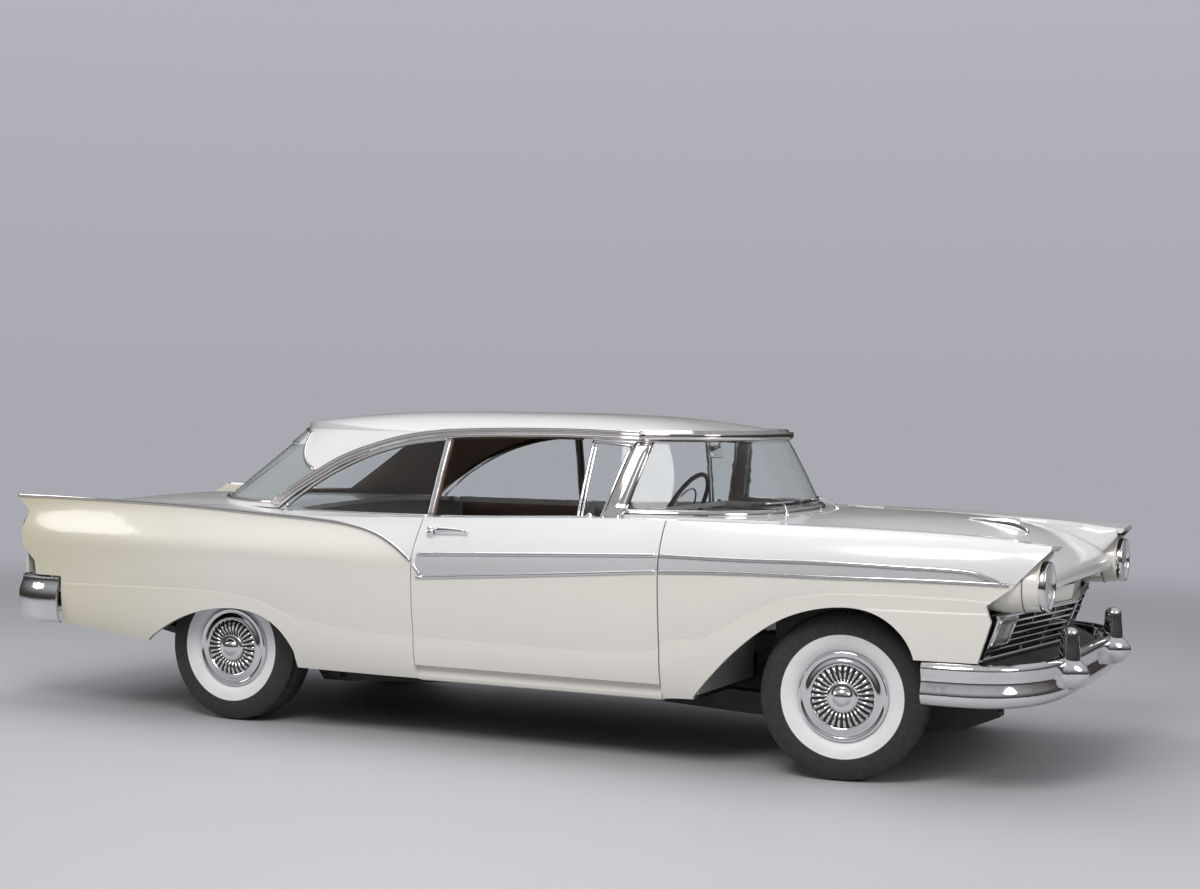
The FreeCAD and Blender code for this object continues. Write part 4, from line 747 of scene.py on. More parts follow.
def on_top(x, y, *names):
    """The surface at (x, y), from above."""
    return cast(names, Vector((x, y, TOP_START)), Vector((0, 0, -1)))


def on_end(y, z, *names):
    """The surface at (y, z), from behind."""
    return cast(names, Vector((REAR_START, y, z)), Vector((1, 0, 0)))


def ring(x, angle, z, *names):
    """The surface that a level ray meets on its way to (x, 0, z); an angle of 0 looks from ahead."""
    way = Vector((math.cos(math.radians(angle)), math.sin(math.radians(angle)), 0))
    return cast(names, Vector((x, 0, z)) + way * RING_START, -way)


CABIN = ("roof", "windshield", "rear_glass", "vent_window_left", "vent_window_right")
BELT_HEIGHT = 0.948
CABIN_HEIGHT = 0.427
BELT_HALF_WIDTH = 0.800
CABIN_LEAN = 0.145


def cabin_skin(x, z, hand):
    """The cabin's side at (x, z), carried on across its openings."""
    share = (z - BELT_HEIGHT) / CABIN_HEIGHT
    plain = BELT_HALF_WIDTH - CABIN_LEAN * (share - 0.22 * share * (1 - share))
    found = on_side(x, z, hand, *CABIN)
    if found and found[0].y * hand > plain - 0.3 and found[1].y * hand > 0.4:
        return found
    return Vector((x, hand * plain, z)), Vector((0, hand * 0.94, 0.33)).normalized()


def side_strip(name, points, hand, trim, key, body, node):
    """A strip that follows the body's side through points of (x, z)."""
    line = polyline([Vector((x, 0, z)) for x, z in points], 0.02)
    half = trim.strip_height / 2
    deep = trim.strip_depth
    outline = [(-0.002, -half), (deep * 0.5, -half), (deep * 0.95, -half * 0.45), (deep, 0.0),
               (deep * 0.95, half * 0.45), (deep * 0.5, half), (-0.002, half)]
    loops = []
    for index, point in enumerate(line):
        found = on_side(point.x, point.z, hand, node)
        if found is None:
            continue
        before, after = neighbours(line, index)
        place, out = found
        up = out.cross((after - before).normalized())
        if up.z < 0 or (abs(up.z) < 0.2 and up.x < 0):
            up = -up
        up.normalize()
        loops.append([place + out * u + up * v for u, v in outline])
    if len(loops) < 2:
        raise RuntimeError(name + " has nothing under it")
    piece(name, solid(name, loops), key, body)


FLAT_BAR = [(-0.003, -0.5), (0.6, -0.5), (0.95, -0.3), (1.0, 0.0), (0.95, 0.3), (0.6, 0.5), (-0.003, 0.5)]


def bar(height, depth, low=0.0):
    """A rounded bar's outline: its height across the surface and how far it stands off."""
    return [(low if u < 0 else u * depth, v * height) for u, v in FLAT_BAR]


def moulding(name, path, outline, key="chrome", body="body", closed=False):
    """A bar with an outline of (out, up), carried along a path of (place, out) on a surface."""
    places = [place for place, _ in path]
    ways = []
    for index, (_, out) in enumerate(path):
        before, after = neighbours(places, index, closed)
        way = (after - before).normalized()
        out = (out - way * out.dot(way)).normalized()
        ways.append((out, out.cross(way)))
    if sum(up.z for _, up in ways) < 0:
        ways = [(out, -up) for out, up in ways]
    loops = [[place + out * u + up * v for u, v in outline] for place, (out, up) in zip(places, ways)]
    if closed:
        loops.append(loops[0])
    piece(name, solid(name, loops, not closed), key, body)


def cornered(wide, high, across, up):
    """Twelve points round a rectangle of half sizes wide and high, with corners cut off at across and up."""
    half = [(-wide, -up), (-across, -high), (0, -high), (across, -high), (wide, -up), (wide, 0)]
    return half + [(-u, -v) for u, v in half]


def cover(name, rows, thickness, key, body="body", inset=0.001, slot=None):
    """A thin skin over rows of (place, out), from an inset below them to a thickness above."""
    bm = bmesh.new()
    rims = []
    for offset in (thickness, -inset):
        layer = [[bm.verts.new(place + out * offset) for place, out in row] for row in rows]
        skin(bm, layer, closed=False)
        last_side = [row[-1] for row in layer[1:-1]]
        first_side = [row[0] for row in layer[-2:0:-1]]
        rims.append(layer[0] + last_side + layer[-1][::-1] + first_side)
    skin(bm, rims)
    return piece(name, finished(name, bm), key, body, slot)


def block(name, centre, size, key, body, bevel, turn=None, slot=None):
    """A slab with rounded edges, turned by a matrix where one is given."""
    bm = bmesh.new()
    bmesh.ops.create_cube(bm, size=1.0)
    bmesh.ops.scale(bm, vec=size, verts=bm.verts)
    bmesh.ops.bevel(bm, geom=bm.edges[:], offset=bevel, segments=3, affect="EDGES", profile=0.6)
    matrix = Matrix.Translation(Vector(centre)) @ (turn or Matrix.Identity(3)).to_4x4()
    bmesh.ops.transform(bm, matrix=matrix, verts=bm.verts)
    return piece(name, finished(name, bm), key, body, slot)


# Operators

FLOOR_LINES = (-13.0, -4.0, 4.0, 13.0)
FLOOR_FULL = 5.5
FLOOR_GONE = 11.5
ROOM_LIGHT = [(0.0, (0.050, 0.043, 0.040)), (0.10, (0.085, 0.075, 0.070)), (0.24, (0.22, 0.22, 0.23)),
              (0.40, (0.42, 0.43, 0.46)), (0.70, (0.54, 0.55, 0.58))]
BACKDROP = [(0.0, (0.395, 0.400, 0.435)), (0.12, (0.43, 0.435, 0.475)), (0.34, (0.50, 0.505, 0.555))]
# Name, place, aim, size, power and colour
LAMPS = (("key_lamp", (1.5, -5.5, 5.4), (0.2, 0.0, 0.5), 3.2, 255.0, (1.0, 0.98, 0.95)),
         ("top_lamp", (-1.0, 0.5, 5.6), (-0.2, 0.0, 0.4), 4.4, 105.0, (1.0, 1.0, 1.0)),
         ("nose_lamp", (6.4, -1.6, 3.0), (1.8, 0.0, 0.6), 2.4, 70.0, (1.0, 0.98, 0.96)),
         ("tail_lamp_left", (-6.0, -3.0, 3.0), (-1.4, 0.0, 0.6), 2.4, 70.0, (0.97, 0.98, 1.0)))
SENSOR_WIDTH = 36.0
FOCAL_LENGTH = 59.32
CAMERA_PLACE = (4.238, -8.456, 1.532)
CAMERA_YAW = math.radians(25.336)
CAMERA_PITCH = math.radians(1.299)
CAMERA_ROLL = math.radians(0.7805)


class CAR_OT_stage(bpy.types.Operator):
    """Sets the floor, the backdrop, the lamps and the camera"""
    bl_idname = "car.stage"
    bl_label = "Studio"

    def execute(self, context):
        self.floor(context)
        for settings in LAMPS:
            self.lamp(context, *settings)
        self.room(context)
        context.scene.view_settings.view_transform = "Standard"
        self.camera(context)
        return {"FINISHED"}

    def floor(self, context):
        """A flat floor that fades out at a distance."""
        floor = Shader("studio_floor")
        shade = floor.mottle(1.3, detail=6.0)
        floor.set(Base_Color=floor.mix(shade, (0.46, 0.465, 0.485), (0.45, 0.455, 0.475)), Roughness=0.6,
                  Alpha=floor.group("distance", Start=FLOOR_GONE, End=FLOOR_FULL)[0])
        bm = bmesh.new()
        loop_strip(bm, [[Vector((x, y, 0.0)) for y in FLOOR_LINES] for x in FLOOR_LINES], False, False)
        bmesh.ops.recalc_face_normals(bm, faces=bm.faces)
        mesh = finished("studio_floor", bm)
        obj = bpy.data.objects.new("studio_floor", mesh)
        context.scene.collection.objects.link(obj)
        mesh.materials.append(floor.material)

    def room(self, context):
        """The light that the room gives, and the plain backdrop that the camera sees."""
        world = context.scene.world or bpy.data.worlds.new("studio")
        context.scene.world = world
        world.use_nodes = True
        sky = Nodes(world.node_tree)
        rise = sky.split(sky.add("ShaderNodeTexCoord").outputs["Generated"])[2]
        path = sky.add("ShaderNodeLightPath").outputs
        seen = sky.math("MAXIMUM", path["Is Camera Ray"], path["Is Transmission Ray"])
        background = sky.tree.nodes["Background"].inputs
        sky.feed(background[0], sky.mix(seen, sky.ramp(rise, ROOM_LIGHT), sky.ramp(rise, BACKDROP)))
        sky.feed(background[1], 1.0)

    def lamp(self, context, name, place, aim, size, power, colour):
        light = bpy.data.lights.new(name, "AREA")
        light.shape = "DISK"
        light.size = size
        light.energy = power
        light.color = colour
        obj = bpy.data.objects.new(name, light)
        context.scene.collection.objects.link(obj)
        obj.location = place
        obj.rotation_euler = (Vector(aim) - Vector(place)).to_track_quat("-Z", "Y").to_euler()

    def camera(self, context):
        data = bpy.data.cameras.new("camera")
        data.sensor_width = SENSOR_WIDTH
        data.sensor_fit = "HORIZONTAL"
        data.lens = FOCAL_LENGTH
        obj = bpy.data.objects.new("camera", data)
        context.scene.collection.objects.link(obj)
        level = math.cos(CAMERA_PITCH)
        ahead = Vector((-math.sin(CAMERA_YAW) * level, math.cos(CAMERA_YAW) * level, -math.sin(CAMERA_PITCH)))
        right = Vector((math.cos(CAMERA_YAW), math.sin(CAMERA_YAW), 0))
        up = right.cross(ahead)
        right_rolled = right * math.cos(CAMERA_ROLL) + up * math.sin(CAMERA_ROLL)
        up_rolled = up * math.cos(CAMERA_ROLL) - right * math.sin(CAMERA_ROLL)
        matrix = Matrix((right_rolled, up_rolled, -ahead)).transposed().to_4x4()
        matrix.translation = Vector(CAMERA_PLACE)
        obj.matrix_world = matrix
        context.scene.camera = obj


# The material of each CAD piece
PAINT_PLAN = {
    "side": ["quarter_panel_left", "quarter_panel_right", "front_fender_left", "front_fender_right"],
    "door": ["door_left", "door_right"],
    "roof": ["roof"],
    "white": ["rear_deck", "hood", "cowl", "trunk_lid"],
    "ivory": ["rear_panel", "nose_panel", "headlamps"],
    "glass": ["windshield", "rear_glass", "vent_window_left", "vent_window_right"],
    "chrome": ["front_bumper", "rear_bumper", "grille"],
    "red": ["tail_lamps"],
    "cloth": ["front_seat", "rear_seat"],
    "dash": ["dashboard"],
    "plastic": ["steering_wheel", "steering_column"],
    "floor": ["floor_pan"],
    "black": ["frame", "rear_axle", "front_suspension", "exhaust", "fuel_tank", "knuckle_left",
              "knuckle_right"],
    "iron": ["engine_block", "driveline"],
}


class CAR_OT_paint(bpy.types.Operator):
    """Makes the materials and paints the panels, the glass and the running gear"""
    bl_idname = "car.paint"
    bl_label = "Paint"

    def execute(self, context):
        make_materials(context.scene.car_paint)
        for key, names in PAINT_PLAN.items():
            for name in names:
                dress(name, M[key])
        return {"FINISHED"}


WHEELS = [(position, side, hand) for position in ("front", "rear") for side, hand in SIDES]
STEER = math.radians(8)
# The outer half of a tyre's section, as points of (along the axle, radius)
TYRE_HALF = [(0.0, 0.3385), (0.0022, 0.3385), (0.0030, 0.3450), (0.0190, 0.3450), (0.0200, 0.3380),
             (0.0242, 0.3380), (0.0250, 0.3449), (0.0260, 0.3448), (0.0405, 0.3441), (0.0412, 0.3370),
             (0.0458, 0.3370), (0.0466, 0.3437), (0.0480, 0.3436), (0.0600, 0.3430), (0.0700, 0.3406),
             (0.0730, 0.3394), (0.0760, 0.3378), (0.0800, 0.3335), (0.0836, 0.3258), (0.0885, 0.3140),
             (0.0921, 0.3008), (0.0942, 0.2860), (0.0950, 0.2692), (0.0945, 0.2530), (0.0940, 0.2515),
             (0.0931, 0.2376), (0.0900, 0.2230), (0.0855, 0.2091), (0.0780, 0.1975), (0.0700, 0.1890),
             (0.0684, 0.1873)]
TYRE_SPOKES = 160
CUT_EVERY = 4
CUT_DEPTH = 0.005


def wheel_place(position, side, hand):
    """A wheel's centre, the way its axle points outward, and its body's name."""
    low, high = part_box("%s_tyre_%s" % (position, side))
    centre = (low + high) / 2
    centre.z = high.z / 2
    turn = STEER if position == "front" else 0.0
    return centre, Vector((-math.sin(turn), math.cos(turn), 0)) * hand, "%s_wheel_%s" % (position, side)


class CAR_OT_tyres(bpy.types.Operator):
    """Builds the tyres, with their tread and white bands"""
    bl_idname = "car.tyres"
    bl_label = "Tyres"

    def execute(self, context):
        for position, side, hand in WHEELS:
            centre, axle, body = wheel_place(position, side, hand)
            name = "%s_tyre_%s" % (position, side)
            finish = white_wall(name + "_rubber", tuple(centre), tuple(axle), context.scene.car_wheels)
            dress(name, finish)
            piece(name + "_tread", self.carcass(name, centre, axle), finish, body, "tyre_rubber",
                  replaces=(name,))
        return {"FINISHED"}

    def carcass(self, name, centre, axle):
        """A tyre with grooves round its tread and cuts across its ribs."""
        section = [(-along, radius) for along, radius in reversed(TYRE_HALF)] + TYRE_HALF[1:]
        ribs = [0.0255 <= abs(along) <= 0.071 and radius > 0.339 for along, radius in section]
        ways = around(axle)
        loops = []
        for index, angle in enumerate(full_turn(TYRE_SPOKES)):
            cut = 0.0 if index % CUT_EVERY else CUT_DEPTH
            way = spoke(ways, angle)
            loops.append([centre + axle * along + way * (radius - cut * rib)
                          for (along, radius), rib in zip(section, ribs)])
        return solid(name + "_tread", loops + loops[:1], False)


# Turned parts of a wheel cover, as points of (along the axle, radius) with a number of spokes
COVER_PROFILES = (
    ([(-0.070, 0.187), (-0.070, 0.172), (0.02, 0.150), (0.03, 0.02), (0.032, 0.0)], 72),
    ([(0.070, 0.1865), (0.078, 0.1845), (0.083, 0.180), (0.084, 0.174), (0.079, 0.168), (0.078, 0.160),
      (0.083, 0.148), (0.088, 0.136), (0.087, 0.129), (0.080, 0.127)], 96),
    ([(-0.070, 0.187), (0.070, 0.1865)], 72),
    ([(0.082, 0.068), (0.090, 0.066), (0.096, 0.060), (0.098, 0.050), (0.097, 0.040), (0.101, 0.036),
      (0.108, 0.030), (0.113, 0.018), (0.115, 0.0)], 64))
PLEAT_RADII = (0.0665, 0.072, 0.085, 0.100, 0.115, 0.124, 0.1275)
# How far each step across a pleat is raised: a ridge, then a gap
RIDGE = (0.5, 1.0, 1.0, 1.0, 0.5, 0.0, 0.0, 0.0)


class CAR_OT_covers(bpy.types.Operator):
    """Builds the rims and the pleated wheel covers"""
    bl_idname = "car.covers"
    bl_label = "Wheel covers"

    def execute(self, context):
        for position, side, hand in WHEELS:
            centre, axle, node = wheel_place(position, side, hand)
            bm = bmesh.new()
            for profile, spokes in COVER_PROFILES:
                lathe(bm, profile, centre, axle, spokes)
            self.pleats(bm, centre, axle, context.scene.car_wheels.ribs)
            # The second material, near-black, is painted shade in the gaps between the pleats
            piece(node + "_cover", finished(node + "_cover", bm), ["chrome", "dark"], node, "chrome",
                  replaces=(node,))
        return {"FINISHED"}

    def pleats(self, bm, centre, axle, ribs):
        """Radial pleats between two rings, each with a raised ridge and a near-black gap of painted shade."""
        ways = around(axle)
        rings = []
        for radius in PLEAT_RADII:
            share = (radius - PLEAT_RADII[0]) / (PLEAT_RADII[-1] - PLEAT_RADII[0])
            dome = 0.083 + 0.006 * math.sin(math.pi * share)
            lift = 0.007 * min(1.0, 6 * share, 6 * (1 - share))
            points = []
            for index, angle in enumerate(full_turn(ribs * len(RIDGE))):
                height = dome + lift * RIDGE[index % len(RIDGE)]
                points.append(bm.verts.new(centre + axle * height + spoke(ways, angle) * radius))
            rings.append(points)
        # Gaps take the near-black second material, painted shade between the ridges
        skin(bm, rings, material=lambda index: int(index % len(RIDGE) >= len(RIDGE) // 2))


# Each strip's name, its points, its material and the panel it lies on
STRIPS = (
    ("fin_strip_", [(-2.52, 1.0235)] + FIN_LINE[1:-2] + [(-0.226, 0.812)], "trim", "quarter_panel_"),
    ("door_low_strip_", [(-0.210, 0.798), (-0.190, 0.772), (-0.172, 0.748), (-0.150, 0.7455), (0.4, 0.783),
                         (0.952, 0.8225)], "chrome", "door_"),
    ("door_high_strip_", [(-0.190, 0.8435), (0.4, 0.868), (0.952, 0.889)], "chrome", "door_"),
    ("fender_low_strip_", [(0.966, 0.823)] + LOW_LINE[2:], "bright", "front_fender_"),
    ("fender_high_strip_", [(0.966, 0.889)] + HIGH_LINE[2:], "bright", "front_fender_"))


class CAR_OT_strips(bpy.types.Operator):
    """Lays the bright strips along the sides"""
    bl_idname = "car.strips"
    bl_label = "Side strips"

    def execute(self, context):
        for side, hand in SIDES:
            for name, points, key, panel in STRIPS:
                body = "door_" + side if panel == "door_" else "body"
                side_strip(name + side, points, hand, context.scene.car_trim, key, body, panel + side)
        return {"FINISHED"}


# Lines on the cabin's side as points of (x, z), and outlines as points of (out, up)
ROOF_SIDE = [(0.730, 1.377), (0.600, 1.381), (0.480, 1.385), (0.300, 1.386), (0.050, 1.382), (-0.208, 1.370),
             (-0.400, 1.346), (-0.560, 1.308), (-0.739, 1.244), (-0.860, 1.178), (-1.000, 1.092),
             (-1.070, 1.040), (-1.092, 1.022)]
ROOF_RIBS = [(-0.006, -0.024), (0.006, -0.025), (0.012, -0.020), (0.012, -0.013), (0.007, -0.010),
             (0.007, -0.007), (0.013, -0.004), (0.014, 0.002), (0.009, 0.005), (0.009, 0.008), (0.016, 0.011),
             (0.016, 0.016), (0.010, 0.020), (-0.006, 0.020)]
QUARTER_TOP = [(-0.212, 1.346), (-0.400, 1.322), (-0.560, 1.282), (-0.700, 1.227), (-0.860, 1.143),
               (-0.985, 1.052), (-1.030, 1.014)]
HEADER_OUTLINE = [(-0.005, -0.020), (0.010, -0.021), (0.020, -0.015), (0.027, -0.004), (0.028, 0.003),
                  (0.020, 0.008), (0.013, 0.010), (0.013, 0.026), (-0.004, 0.030)]
SILL_OUTLINE = [(-0.004, -0.020), (0.009, -0.019), (0.013, -0.008), (0.012, 0.004), (0.006, 0.014),
                (-0.004, 0.015)]
REAR_HOOK = [(-0.900, 1.186), (-0.950, 1.204), (-1.005, 1.240), (-1.045, 1.285), (-1.062, 1.325),
             (-1.068, 1.352)]
# Where the tinted wing starts, as points of (z, x)
WING_START = [(1.024, -1.108), (1.092, -1.022), (1.150, -0.940), (1.186, -0.900), (1.204, -0.950),
              (1.240, -1.005), (1.285, -1.045), (1.300, -1.052)]
# Each bar's name, its ends, width and depth
VENT_BARS = (("vent_rear_post_", (0.492, 0.993), (0.513, 1.350), 0.010, 0.004),
             ("vent_second_post_", (0.510, 0.993), (0.529, 1.346), 0.008, 0.003),
             ("vent_front_post_", (0.598, 1.013), (0.682, 1.330), 0.012, 0.003),
             ("vent_top_frame_", (0.512, 1.350), (0.688, 1.334), 0.009, 0.003))
WINDSHIELD_CENTRE = 0.2
REAR_GLASS_CENTRE = -0.9


def straight(start, end, count):
    """Points of (x, z) on a straight line."""
    return zip(spaced(start[0], end[0], count), spaced(start[1], end[1], count))


class CAR_OT_cabin(bpy.types.Operator):
    """Fits the bright mouldings round the roof and the windows"""
    bl_idname = "car.cabin"
    bl_label = "Window mouldings"

    def execute(self, context):
        for side, hand in SIDES:
            self.roof_side(side, hand)
            self.pillar(side, hand)
            self.vent(side, hand)
            self.quarter(side, hand)
            self.belt(side, hand)
        self.windshield()
        self.rear_glass()
        return {"FINISHED"}

    def roof_side(self, side, hand):
        path = []
        for x, z in lined(ROOF_SIDE):
            place, _ = cabin_skin(x, min(z - 0.012, 1.371), hand)
            y = place.y - hand * (z - place.z) * 0.33
            path.append((Vector((x, y, z)), Vector((0, hand * 0.97, 0.24))))
        moulding("roof_side_moulding_" + side, path, ROOF_RIBS, "trim")
        seal = [(place + Vector((0, -hand * 0.004, -0.026)), out) for place, out in path if place.x < 0.46]
        moulding("roof_side_seal_" + side, seal, bar(0.007, 0.006, -0.010), "felt")

    def pillar(self, side, hand):
        out = Vector((0.22, hand * 0.92, 0.32)).normalized()
        rows = []
        for z in spaced(1.012, 1.350, 15):
            rear = 0.608 + (z - 1.010) * 0.287
            front = 0.700 + (z - 1.010) * 0.232
            rows.append([(Vector((x, cabin_skin(x, max(z, 1.025), hand)[0].y, z)), out)
                         for x in spaced(rear, front, 6)])
        cover("windshield_pillar_" + side, rows, 0.005, "trim")

    def vent(self, side, hand):
        glass_node = "vent_window_" + side
        door = "door_" + side
        for name, start, end, width, depth in VENT_BARS:
            path = [on_side(x, z, hand, glass_node) or cabin_skin(x, z, hand)
                    for x, z in straight(start, end, 13)]
            moulding(name + side, path, bar(width, depth, -0.009), body=door)
        turned("vent_pivot_" + side, [(-0.004, 0.013), (0.003, 0.0125), (0.0045, 0.010), (0.0045, 0.0)],
               *on_side(0.545, 1.030, hand, glass_node), body=door, spokes=28)

    def quarter(self, side, hand):
        top = [cabin_skin(x, z, hand) for x, z in lined(QUARTER_TOP)]
        moulding("quarter_frame_" + side, top, bar(0.011, 0.003, -0.014))
        front = [cabin_skin(x, z, hand) for x, z in straight((-0.232, 0.992), (-0.204, 1.354), 15)]
        moulding("quarter_front_bar_" + side, front, bar(0.026, 0.003, -0.018), "bright")
        edge = [(place + Vector((0.017, 0, 0)), out) for place, out in front]
        moulding("quarter_front_felt_" + side, edge, bar(0.010, 0.000, -0.018), "felt")

    def belt(self, side, hand):
        for name, panel, body, first, last in (("door_belt_", "door_", "door_" + side, -0.212, 0.590),
                                               ("quarter_belt_", "quarter_panel_", "body", -1.02, -0.232)):
            found = [on_top(x, hand * 0.790, panel + side) for x in spaced(first, last, 25)]
            path = [(hit[0], Vector((0, hand * 0.35, 0.94))) for hit in found if hit]
            moulding(name + side, path, bar(0.014, 0.006), "bright", body)

    def windshield(self):
        for name, height, reach, outline in (("header_moulding", 1.374, 50, HEADER_OUTLINE),
                                             ("windshield_low_moulding", 1.050, 56, SILL_OUTLINE)):
            path = [ring(WINDSHIELD_CENTRE, angle, height, "roof", "windshield")
                    for angle in range(-reach, reach + 1, 2)]
            moulding(name, path, outline, "trim")
        stem = [Vector((0.862, 0, 1.372)), Vector((0.850, 0, 1.345)), Vector((0.828, 0, 1.318))]
        tube("mirror_stem", stem, 0.005)
        turn = Matrix.Rotation(math.radians(-12), 3, "Y") @ Matrix.Rotation(math.radians(8), 3, "Z")
        block("mirror_case", (0.824, 0, 1.298), (0.016, 0.205, 0.058), "chrome", "body", 0.007, turn)
        block("mirror_face", (0.8165, 0, 1.298), (0.003, 0.192, 0.047), "mirror", "body", 0.001, turn,
              "chrome")
        for side, hand in SIDES:
            self.wiper(side, hand)

    def wiper(self, side, hand):
        pivot, _ = on_top(1.300, 0.34 * hand, "cowl")
        turned("wiper_pivot_" + side, [(-0.004, 0.016), (0.006, 0.015), (0.014, 0.010), (0.018, 0.0)], pivot,
               (0, 0, 1), spokes=28)
        blade = []
        for angle in range(2, 25, 2):
            place, out = ring(WINDSHIELD_CENTRE, angle * hand, 1.082, "windshield")
            blade.append((place + out * 0.006, out))
        moulding("wiper_blade_" + side, blade, bar(0.012, 0.004, -0.004), "rubber")
        spine = [place + out * 0.010 for place, out in blade[2:-2]]
        tube("wiper_spine_" + side, spine, 0.0035)
        middle = spine[len(spine) // 2]
        reach = polyline([pivot + Vector((0, 0, 0.014)), (pivot + middle) / 2 + Vector((0.004, 0, 0.016)),
                          middle], 0.02)
        tube("wiper_arm_" + side, reach, 0.0042)

    def rear_glass(self):
        low = [ring(REAR_GLASS_CENTRE, angle, 1.034, "roof", "rear_glass") for angle in range(103, 258, 3)]
        band = [[ring(REAR_GLASS_CENTRE, angle, z, "roof") for angle in range(116, 245, 2)]
                for z in spaced(1.303, 1.358, 6)]
        cover("rear_glass_top", band, 0.0035, "tint", inset=0.0005)
        moulding("rear_glass_moulding", low, bar(0.018, 0.006), "trim")
        eave = [ring(REAR_GLASS_CENTRE, angle, 1.366, "roof") for angle in range(118, 243, 3)]
        hooks = {}
        for side, hand in SIDES:
            hooks[side] = [on_side(x, z, hand, "roof") for x, z in lined(REAR_HOOK, 0.02)]
            self.glass_wing(side, hand)
        moulding("roof_rear_moulding", hooks["left"] + eave + hooks["right"][::-1], bar(0.016, 0.008), "trim")

    def glass_wing(self, side, hand):
        """Tinted glass that carries the rear window on over the pillar, as far as the roof-side moulding."""
        rows = []
        for z in spaced(1.026, 1.300, 24):
            end = -1.466 + (z - 1.042) / 0.256 * 0.376
            rows.append([on_side(x, z, hand, "roof") for x in spaced(read_off(WING_START, z), end, 17)])
        cover("rear_glass_wing_" + side, rows, 0.0035, "tint", inset=0.0005)


AHEAD = Vector((1, 0, 0))
BEHIND = Vector((-1, 0, 0))
# Each part's name, material and number of spokes, with points of (distance ahead, radius)
HEADLAMP = (
    ("bezel", "chrome", 72,
     [(0.012, 0.0850), (0.034, 0.0842), (0.042, 0.0862), (0.0465, 0.0900), (0.0468, 0.0945), (0.044, 0.0985),
      (0.036, 0.1003), (0.026, 0.1006), (0.020, 0.0995), (0.018, 0.0975)]),
    ("sleeve", "ivory", 72,
     [(-0.004, 0.0965), (-0.004, 0.1000), (0.008, 0.0998), (0.024, 0.0990), (0.024, 0.0950)]),
    ("reflector", "mirror", 48,
     [(0.021, 0.0845), (0.0200, 0.060), (0.0192, 0.030), (0.0190, 0.018), (0.024, 0.015), (0.026, 0.008),
      (0.0265, 0.0)]),
    ("lens", "clear", 64,
     [(0.026, 0.0843), (0.033, 0.0835), (0.037, 0.070), (0.0405, 0.045), (0.042, 0.020), (0.0424, 0.0)]),
    ("seam", "felt", 72, [(-0.046, 0.0985), (-0.044, 0.1075), (-0.041, 0.1078), (-0.039, 0.0985)]))
HEADLAMP_PLACE = (2.5, 0.775, 0.828)
# How far ahead the bumper's back lies, as points of (y, x)
BUMPER_BACK = [(0.0, 2.530), (0.30, 2.525), (0.56, 2.505), (0.77, 2.440), (0.86, 2.380)]
# The hood ornament's sections, as x with a height and a half width
ORNAMENT = ((2.002, 0.003, 0.003), (2.040, 0.008, 0.006), (2.090, 0.015, 0.009), (2.140, 0.024, 0.011),
            (2.185, 0.034, 0.013), (2.216, 0.041, 0.013), (2.240, 0.038, 0.013), (2.258, 0.031, 0.012),
            (2.270, 0.021, 0.010), (2.279, 0.007, 0.006))
CORE_COLUMNS = 192


def grille_face(y, z, ahead=0.0):
    """A point on the grille's sloping face."""
    return Vector((2.424 - 0.128 * abs(y) / 0.850 + (z - 0.535) * 0.38 + ahead, y, z))


